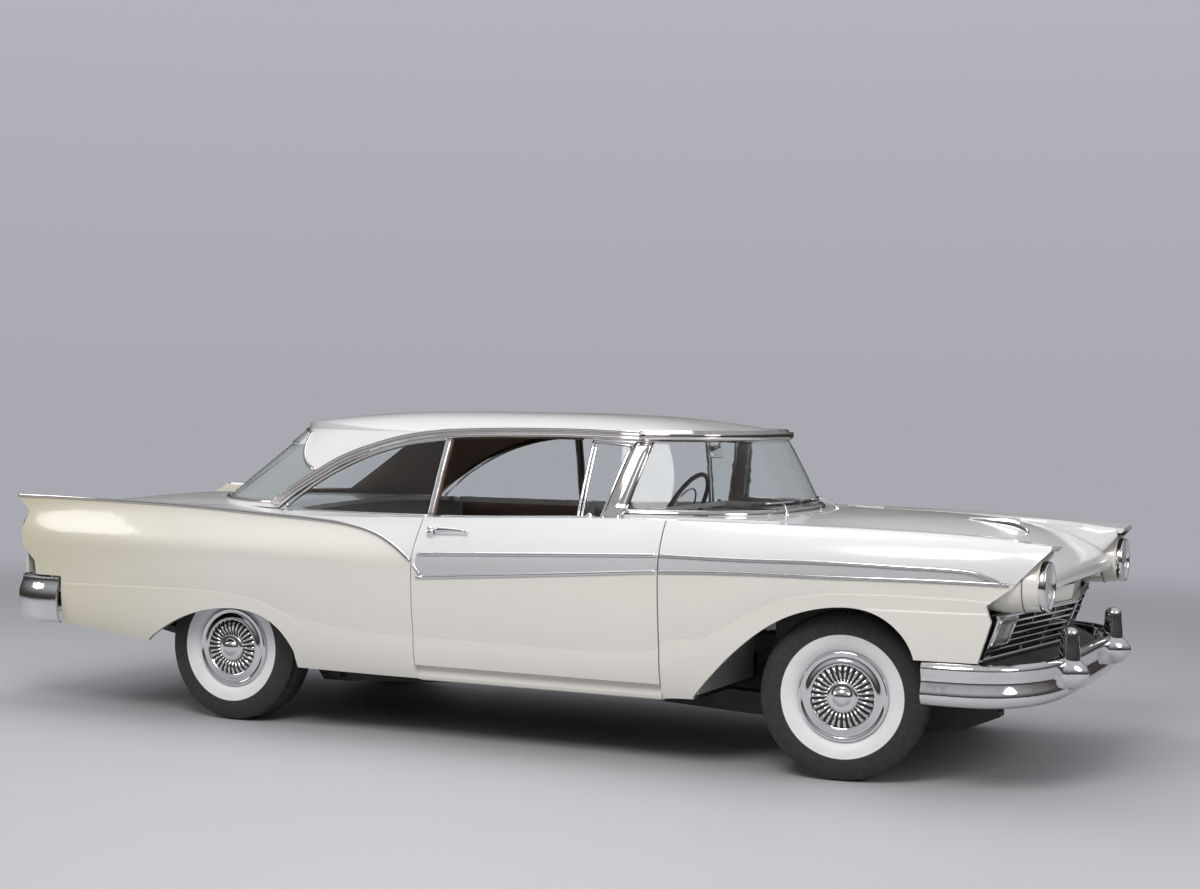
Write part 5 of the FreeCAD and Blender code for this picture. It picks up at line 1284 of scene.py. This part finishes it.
class CAR_OT_front(bpy.types.Operator):
    """Fits the lamps, the grille's core and the hood's ornament"""
    bl_idname = "car.front"
    bl_label = "Front end"

    def execute(self, context):
        for side, hand in SIDES:
            place = Vector(HEADLAMP_PLACE) * Vector((1, hand, 1))
            for name, key, spokes, profile in HEADLAMP:
                turned("headlamp_%s_%s" % (name, side), profile, place, AHEAD, key, spokes=spokes)
            self.parking_lamp(side, hand)
            self.brow_wall(side, hand)
        self.splash_pan()
        self.core()
        self.ornament()
        return {"FINISHED"}

    def core(self):
        """The radiator behind the grille, with upright fins, in a near-black that also stands for the painted
        shade behind the grille.
        """
        rows = [[(grille_face(y, z, -0.096 if index % 2 else -0.100), AHEAD)
                 for index, y in enumerate(spaced(-0.64, 0.64, CORE_COLUMNS + 1))]
                for z in spaced(0.500, 0.745, 9)]
        # A real radiator core, with its near-black also standing for painted shade behind the grille
        cover("radiator_core", rows, 0.001, "dark", inset=0.006)

    def brow_wall(self, side, hand):
        """The brow's inner side, from the fender's edge down behind the hood's."""
        columns = []
        for x in spaced(2.080, 2.530, 37):
            top = on_top(x, hand * 0.657, "front_fender_" + side)[0].z - 0.003
            hood = on_top(x, hand * 0.630, "hood")
            low = max(hood[0].z - 0.030 if hood else 0.0, 0.823 + max(0.0, x - 2.421) * 1.08)
            columns.append([(Vector((x, hand * 0.6490, low + (top - low) * share)), Vector((0, -hand, 0)))
                            for share in (0.0, 0.33, 0.66, 1.0)])
        cover("brow_wall_" + side, columns, 0.0012, "white", inset=0.0012)

    def splash_pan(self):
        """The dark pan between the grille's foot and the bumper."""
        rows = []
        for y in spaced(-0.82, 0.82, 41):
            first = grille_face(y, 0.524, -0.020)
            last = Vector((max(read_off(BUMPER_BACK, abs(y)), first.x + 0.02), y, 0.462))
            rows.append([(first.lerp(last, share), Vector((0.3, 0, 0.95))) for share in spaced(0.0, 1.0, 7)])
        cover("splash_pan", rows, 0.0015, "black", inset=0.0015)

    def parking_lamp(self, side, hand):
        """A swelling lens in the grille's end, and its rim."""
        bm = bmesh.new()
        grid = []
        for v in spaced(0.0, 1.0, 9):
            line = []
            for u in spaced(0.0, 1.0, 17):
                edge = min(1.0, 8 * min(u, 1 - u)) * min(1.0, 5 * min(v, 1 - v))
                swell = 0.007 * math.sin(math.pi * u) ** 0.5 * math.sin(math.pi * v) ** 0.5
                line.append(bm.verts.new(grille_face(hand * (0.6695 + 0.154 * u), 0.5905 + 0.095 * v,
                                                     -0.006 + 0.007 * edge + swell)))
            grid.append(line)
        skin(bm, grid, closed=False)
        name = "parking_lens_" + side
        piece(name, finished(name, bm), "amber")
        loop = [(grille_face(hand * (0.7465 + y), 0.638 + z, 0.009), Vector((1, 0, -0.3)))
                for y, z in cornered(0.0815, 0.052, 0.07335, 0.04368)]
        moulding("parking_lamp_rim_" + side, loop, bar(0.008, 0.005), closed=True)

    def ornament(self):
        loops = []
        for x, height, half in ORNAMENT:
            base = on_top(x, 0.0, "hood")[0].z - 0.004
            loop = []
            for angle in spaced(0.0, math.pi, 19):
                z = base + (height + 0.004) * math.sin(angle) ** 0.7
                loop.append(Vector((x, half * math.cos(angle), z)))
            loops.append(loop)
        piece("hood_ornament", solid("hood_ornament", loops), body="hood")


TAIL_LAMP_PLACE = (-2.466, 0.785, 0.862)
# Turned parts of the tail, the lid and the doors, as points of (distance outward, radius)
TAIL_RIM = [(0.0, 0.0780), (0.0, 0.0865), (0.012, 0.0870), (0.024, 0.0850), (0.030, 0.0820), (0.031, 0.0790),
            (0.026, 0.0775)]
TAIL_BOSS = [(-0.004, 0.027), (0.003, 0.0265), (0.007, 0.022), (0.009, 0.012), (0.0095, 0.0)]
BUMPER_BOLT = [(-0.004, 0.014), (0.003, 0.0138), (0.006, 0.011), (0.008, 0.006), (0.0085, 0.0)]
LID_LOCK = [(-0.004, 0.021), (0.004, 0.020), (0.009, 0.016), (0.010, 0.006), (0.007, 0.0)]
HANDLE_BUTTON = [(-0.004, 0.026), (0.005, 0.0258), (0.010, 0.023), (0.012, 0.019), (0.024, 0.0185),
                 (0.028, 0.015), (0.029, 0.0)]
HANDLE_FOOT = [(-0.004, 0.012), (0.004, 0.0115), (0.012, 0.008), (0.018, 0.006)]
CRANK_HUB = [(-0.003, 0.022), (0.006, 0.020), (0.012, 0.013), (0.018, 0.011), (0.020, 0.0)]
CRANK_KNOB = [(-0.004, 0.009), (0.006, 0.012), (0.018, 0.012), (0.022, 0.0)]
HANDLE_STEPS = 15
# Door and quarter cards: how far out they lie, and their grid
CARD_OUT = 0.7545
CARD_ROWS = 15
PLEATED_ROWS = 9
CARD_COLUMNS = 97
PLEAT_COLUMNS = 8


class CAR_OT_tail(bpy.types.Operator):
    """Fits the tail lamps' rims, the blank plate, the lid's lock and the bumper's bolts"""
    bl_idname = "car.tail"
    bl_label = "Rear end"

    def execute(self, context):
        for side, hand in SIDES:
            place = Vector(TAIL_LAMP_PLACE) * Vector((1, hand, 1))
            turned("tail_lamp_rim_" + side, TAIL_RIM, place, BEHIND, spokes=64)
            turned("tail_lamp_boss_" + side, TAIL_BOSS, on_end(place.y, place.z, "tail_lamps")[0], BEHIND,
                   spokes=40)
            for y in (0.60, 0.30):
                turned("bumper_bolt_%s_%d" % (side, y * 100), BUMPER_BOLT,
                       *on_end(y * hand, 0.505, "rear_bumper"), spokes=28)
        self.plate()
        turned("lid_lock", LID_LOCK, *on_end(0.0, 0.955, "trunk_lid"), body="trunk_lid", spokes=40)
        return {"FINISHED"}

    def plate(self):
        """A blank plate with its frame and screws, leaning as the lid does."""
        place, out = on_end(0.0, 0.850, "trunk_lid")
        lean = Matrix.Rotation(-math.asin(max(-1.0, min(1.0, out.z))), 3, "Y")
        block("plate", place + out * 0.012, (0.003, 0.305, 0.152), "plate", "trunk_lid", 0.001, lean)
        loop = [(place + out * 0.010 + lean @ Vector((0, y, z)), out)
                for y, z in cornered(0.157, 0.081, 0.15, 0.07)]
        moulding("plate_frame", loop, bar(0.008, 0.008, -0.010), body="trunk_lid", closed=True)
        for y in (-0.11, 0.11):
            turned("plate_screw_%d" % (y * 100), [(0.0, 0.006), (0.003, 0.005), (0.004, 0.0)],
                   place + out * 0.0135 + lean @ Vector((0, y, 0.062)), out, body="trunk_lid", spokes=20)


class CAR_OT_doors(bpy.types.Operator):
    """Fits the door handles, the door cards and what is on them"""
    bl_idname = "car.doors"
    bl_label = "Doors"

    def execute(self, context):
        for side, hand in SIDES:
            self.handle(side, hand)
            self.card("door_card_" + side, -0.150, 0.585, hand, "door_" + side)
            self.card("quarter_card_" + side, -0.930, -0.245, hand, "body")
            self.fittings(side, hand)
        return {"FINISHED"}

    def handle(self, side, hand):
        door = "door_" + side
        turned("handle_button_" + side, HANDLE_BUTTON, *on_side(-0.146, 0.938, hand, door), body=door,
               spokes=40)
        loops = []
        for step, share in enumerate(spaced(0.0, 1.0, HANDLE_STEPS)):
            point, normal = on_side(-0.128 + 0.168 * share, 0.940, hand, door)
            half = 0.013 - 0.007 * share
            lift = 0.021 + 0.005 * math.sin(math.pi * share)
            if step in (0, HANDLE_STEPS - 1):
                lift -= 0.012
            thick = 0.0065 - 0.002 * share
            loops.append([point + normal * (lift + thick * math.cos(angle))
                          + Vector((0, 0, half * math.sin(angle))) for angle in full_turn(12)])
        piece("handle_grip_" + side, solid("handle_grip_" + side, loops), body=door)
        turned("handle_foot_" + side, HANDLE_FOOT, *on_side(0.030, 0.940, hand, door), body=door, spokes=28)

    def card(self, name, first, last, hand, body):
        """A lining with pleats below and a plain band above."""
        rows = []
        for step, z in enumerate(spaced(0.420, 0.980, CARD_ROWS)):
            row = []
            for index, x in enumerate(spaced(first, last, CARD_COLUMNS)):
                sunk = 0.004 if step < PLEATED_ROWS and index % PLEAT_COLUMNS == 0 else 0.0
                at_edge = index in (0, CARD_COLUMNS - 1) or step in (0, CARD_ROWS - 1)
                out = CARD_OUT + sunk + (0.003 if at_edge else 0.0)
                row.append((Vector((x, hand * out, z)), Vector((0, -hand, 0))))
            rows.append(row)
        card = cover(name, rows, 0.002, ["lining", "top_vinyl"], body, 0.004, "seat_cloth")
        for polygon in card.data.polygons:
            if 0.745 < polygon.center.z < 0.835:
                polygon.material_index = 1

    def fittings(self, side, hand):
        """An arm rest, a window crank and a lever."""
        body = "door_" + side
        block("arm_rest_" + side, (0.14, hand * 0.728, 0.690), (0.30, 0.050, 0.045), "lining", body, 0.014)
        inward = Vector((0, -hand, 0))
        for name, x, z, turn in (("window_crank_", 0.36, 0.610, -35.0), ("door_lever_", 0.44, 0.840, 190.0)):
            hub = Vector((x, hand * 0.7525, z))
            turned(name + "hub_" + side, CRANK_HUB, hub, inward, body=body, spokes=32)
            way = spoke((AHEAD, Vector((0, 0, 1))), math.radians(turn))
            start = hub + inward * 0.016
            tube(name + "arm_" + side, [start, start + way * 0.04 + inward * 0.004, start + way * 0.085],
                 0.0055, body)
            if name == "window_crank_":
                turned("crank_knob_" + side, CRANK_KNOB, start + way * 0.085, inward, "plastic", body, 28)


UPWARD = Vector((0, 0, 1))
FORWARD = Vector((0.95, 0, 0.3))
# Each cushion's name, CAD piece, half width and face, with its section as points of (x, z)
CUSHIONS = (
    ("front_cushion", "front_seat", 0.660, UPWARD,
     [(0.012, 0.470), (0.430, 0.470), (0.448, 0.530), (0.436, 0.580), (0.392, 0.592), (0.100, 0.572),
      (0.012, 0.556)]),
    ("front_back_rest", "front_seat", 0.660, FORWARD,
     [(-0.118, 0.480), (0.010, 0.570), (0.030, 0.630), (-0.050, 0.905), (-0.078, 0.944), (-0.112, 0.950),
      (-0.134, 0.920), (-0.126, 0.620)]),
    ("rear_cushion", "rear_seat", 0.600, UPWARD,
     [(-0.830, 0.470), (-0.482, 0.470), (-0.462, 0.535), (-0.475, 0.592), (-0.520, 0.602), (-0.760, 0.580),
      (-0.830, 0.560)]),
    ("rear_back_rest", "rear_seat", 0.600, FORWARD,
     [(-0.950, 0.500), (-0.835, 0.560), (-0.800, 0.630), (-0.880, 0.850), (-0.905, 0.888), (-0.935, 0.896),
      (-0.956, 0.860)]))
SEAT_BASES = (("front_seat_base", "front_seat", -0.128, 0.425),
              ("rear_seat_base", "rear_seat", -0.955, -0.468))
BASE_TOP = 0.475
VOXEL = 0.011
PRESSURE = 4.0
FRAMES = 20
MOST_MOVE = 0.024
GROOVE_PITCH = 0.110
GROOVE_DEPTH = 0.008
GROOVE_WIDTH = 0.007


class CAR_OT_seats(bpy.types.Operator):
    """Stuffs the bench seats by cloth simulation"""
    bl_idname = "car.seats"
    bl_label = "Seats"

    def execute(self, context):
        for settings in CUSHIONS:
            self.cushion(context, *settings)
        for name, node, low, high in SEAT_BASES:
            box_low, box_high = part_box(node)
            base = block(name, ((low + high) / 2, 0, (box_low.z + BASE_TOP) / 2 + 0.001),
                         (high - low, 2 * box_high.y - 0.03, BASE_TOP - box_low.z), "lining", "body", 0.012)
            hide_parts(node)
        return {"FINISHED"}

    def cushion(self, context, name, node, half, face, outline):
        middle = Vector((sum(x for x, _ in outline), 0, sum(z for _, z in outline))) / len(outline)
        loops = []
        for y, share in ((-1.0, 0.80), (-0.985, 0.93), (-0.96, 1.0), (0.96, 1.0), (0.985, 0.93), (1.0, 0.80)):
            loops.append([Vector((middle.x + (x - middle.x) * share, y * half,
                                  middle.z + (z - middle.z) * share)) for x, z in outline])
        obj = bpy.data.objects.new(name, solid(name, loops))
        context.scene.collection.objects.link(obj)
        remesh = obj.modifiers.new("voxels", "REMESH")
        remesh.mode = "VOXEL"
        remesh.voxel_size = VOXEL
        self.bake(obj)
        self.stuff(context, obj)
        smooth = obj.modifiers.new("smooth", "SMOOTH")
        smooth.iterations = 3
        smooth.factor = 0.5
        rounds = obj.modifiers.new("rounds", "SUBSURF")
        rounds.levels = 1
        self.bake(obj)
        mesh = obj.data
        for vertex, normal in [(vertex, vertex.normal.copy()) for vertex in mesh.vertices]:
            if normal.dot(face) > 0.45:
                across = (vertex.co.y + GROOVE_PITCH / 2) % GROOVE_PITCH - GROOVE_PITCH / 2
                vertex.co -= normal * GROOVE_DEPTH * math.exp(-(across / GROOVE_WIDTH) ** 2)
        for key in ("cloth", "top_vinyl", "lining"):
            mesh.materials.append(M[key])
        band = max(z for _, z in outline) - 0.085 if face is FORWARD else math.inf
        for polygon in mesh.polygons:
            polygon.use_smooth = True
            if polygon.center.z > band:
                polygon.material_index = 1
            elif abs(polygon.center.y) > half - 0.025 or polygon.normal.dot(face) < -0.3:
                polygon.material_index = 2
        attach(obj, "body")
        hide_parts(node)

    def stuff(self, context, obj):
        """Blows the cushion up with pressure, and keeps each point near its start."""
        start = [vertex.co.copy() for vertex in obj.data.vertices]
        stuffing = obj.modifiers.new("stuffing", "CLOTH")
        stuffing.settings.use_pressure = True
        stuffing.settings.uniform_pressure_force = PRESSURE
        stuffing.settings.effector_weights.gravity = 0.0
        stuffing.point_cache.frame_start = 1
        stuffing.point_cache.frame_end = FRAMES
        for number in range(1, FRAMES + 1):
            context.scene.frame_set(number)
        self.bake(obj)
        context.scene.frame_set(1)
        for vertex, before in zip(obj.data.vertices, start):
            move = vertex.co - before
            if move.length > MOST_MOVE:
                vertex.co = before + move * (MOST_MOVE / move.length)

    def bake(self, obj):
        """Puts what the modifiers give into the mesh, and takes them off."""
        graph = bpy.context.evaluated_depsgraph_get()
        mesh = bpy.data.meshes.new_from_object(obj.evaluated_get(graph))
        obj.modifiers.clear()
        obj.data = mesh


DIAL_HEIGHT = 0.905
RADIO_HEIGHT = 0.890
WHEEL_CENTRE = Vector((0.500, 0.385, 0.985))
TILT = math.radians(27)
TO_DRIVER = Vector((-math.cos(TILT), 0, math.sin(TILT)))
KNOB = [(-0.002, 0.014), (0.012, 0.013), (0.015, 0.010), (0.016, 0.0)]
LEVER_KNOB = [(-0.008, 0.006), (0.0, 0.011), (0.010, 0.013), (0.020, 0.010), (0.024, 0.0)]
HORN_CAP = [(0.0, 0.040), (0.012, 0.038), (0.020, 0.030), (0.025, 0.016), (0.026, 0.0)]


def needle(bm, sections, across, out):
    """A three-sided mark from sections of (middle, half width, height)."""
    loop_strip(bm, [[middle + across * half, middle + out * height, middle - across * half]
                    for middle, half, height in sections])


class CAR_OT_dash(bpy.types.Operator):
    """Fits the dials, the radio, the glove box and the steering wheel's parts"""
    bl_idname = "car.dash"
    bl_label = "Dashboard"

    def execute(self, context):
        for name, y, radius in (("speed_dial", 0.385, 0.064), ("fuel_dial", 0.505, 0.034),
                                ("heat_dial", 0.265, 0.034)):
            self.dial(name, *on_end(y, DIAL_HEIGHT, "dashboard"), radius)
        self.frame("radio_frame", -0.01, RADIO_HEIGHT, 0.105, 0.036)
        for index in range(6):
            self.strip("radio_slat_%d" % index, -0.104, 0.084, 0.866 + 0.0096 * index, 9, bar(0.004, 0.004))
        for name, y in (("radio_knob_left", 0.125), ("radio_knob_right", -0.145)):
            turned(name, KNOB, *on_end(y, RADIO_HEIGHT, "dashboard"), "plastic", spokes=28)
        self.frame("glove_box_frame", -0.420, 0.885, 0.170, 0.055)
        turned("glove_box_lock", [(-0.002, 0.011), (0.006, 0.010), (0.008, 0.0)],
               *on_end(-0.420, 0.922, "dashboard"), spokes=24)
        self.strip("dash_strip", -0.66, 0.66, 0.815, 41, bar(0.016, 0.004), "bright")
        self.wheel_parts()
        return {"FINISHED"}

    def dial(self, name, place, out, radius):
        """A rim, a face, thirteen marks and a needle."""
        turned(name + "_rim", [(-0.002, radius), (0.010, radius), (0.013, radius - 0.003),
                               (0.011, radius - 0.007), (0.003, radius - 0.009)], place, out)
        turned(name + "_face", [(0.003, radius - 0.008), (0.0032, radius * 0.5), (0.006, radius * 0.10),
                                (0.0065, 0.0)], place, out, "dial")
        side = out.cross(Vector((0, 0, 1))).normalized()
        up = side.cross(out)
        bm = bmesh.new()
        for angle in range(-120, 121, 20):
            way = spoke((up, side), math.radians(angle))
            needle(bm, [(place + way * reach + out * 0.0036, 0.0010, 0.0009)
                        for reach in (radius * 0.66, radius * 0.82)], way.cross(out), out)
        way = (side * -0.6 + up * 0.8).normalized()
        needle(bm, [(place + way * reach + out * 0.007, half, 0.001)
                    for reach, half in ((-0.006, 0.0012), (radius * 0.7, 0.0004))], way.cross(out), out)
        piece(name + "_marks", finished(name + "_marks", bm), "top_vinyl", slot="dash_paint", smooth=False)

    def frame(self, name, y, z, half_width, half_height):
        path = [on_end(y + u * half_width, z + v * half_height, "dashboard")
                for u, v in cornered(1, 1, 0.94, 0.8)]
        moulding(name, path, bar(0.006, 0.005), closed=True)

    def strip(self, name, first, last, z, count, outline, key="chrome"):
        moulding(name, [on_end(y, z, "dashboard") for y in spaced(first, last, count)], outline, key)

    def wheel_parts(self):
        """The horn ring with its cap, and the two levers on the column."""
        side = Vector((0, 1, 0))
        up = TO_DRIVER.cross(side)
        tube("horn_ring", [WHEEL_CENTRE + TO_DRIVER * 0.012 + spoke((side, up), angle) * 0.130
                           for angle in full_turn(48)], 0.0045, "steering_wheel", True)
        turned("horn_cap", HORN_CAP, WHEEL_CENTRE, TO_DRIVER, body="steering_wheel")
        foot = WHEEL_CENTRE - TO_DRIVER * 0.100
        for name, hand, reach in (("shift_lever", -1, 0.165), ("signal_lever", 1, 0.135)):
            points = [foot + side * hand * 0.024, foot + side * hand * 0.08 + up * 0.02 + TO_DRIVER * 0.012,
                      foot + side * hand * reach + up * 0.035 + TO_DRIVER * 0.030]
            tube(name, polyline(points, 0.015), 0.0045)
            turned(name + "_knob", LEVER_KNOB, points[-1], side * hand, "plastic", spokes=24)


STEPS = (CAR_OT_stage, CAR_OT_paint, CAR_OT_tyres, CAR_OT_covers, CAR_OT_strips, CAR_OT_cabin, CAR_OT_front,
         CAR_OT_tail, CAR_OT_doors, CAR_OT_seats, CAR_OT_dash)
ORDER = ("paint", "tyres", "covers", "strips", "cabin", "front", "tail", "doors", "seats", "dash", "stage")


class CAR_PT_panel(bpy.types.Panel):
    """Lists the steps and the settings"""
    bl_idname = "CAR_PT_panel"
    bl_label = "Car"
    bl_space_type = "VIEW_3D"
    bl_region_type = "UI"
    bl_category = "Car"

    def draw(self, context):
        for step in STEPS:
            self.layout.operator(step.bl_idname)
        for group in (context.scene.car_paint, context.scene.car_trim, context.scene.car_wheels):
            for key in group.bl_rna.properties.keys():
                if key not in ("rna_type", "name"):
                    self.layout.prop(group, key)


GROUPS = {"car_paint": CarPaint, "car_trim": CarTrim, "car_wheels": CarWheels}


def register():
    for item in (*GROUPS.values(), *STEPS, CAR_PT_panel):
        bpy.utils.register_class(item)
    for name, item in GROUPS.items():
        setattr(bpy.types.Scene, name, bpy.props.PointerProperty(type=item))


def unregister():
    for name in GROUPS:
        delattr(bpy.types.Scene, name)
    for item in reversed((*GROUPS.values(), *STEPS, CAR_PT_panel)):
        bpy.utils.unregister_class(item)


def main():
    register()
    for step in ORDER:
        getattr(bpy.ops.car, step)()


if __name__ == "__main__":
    main()
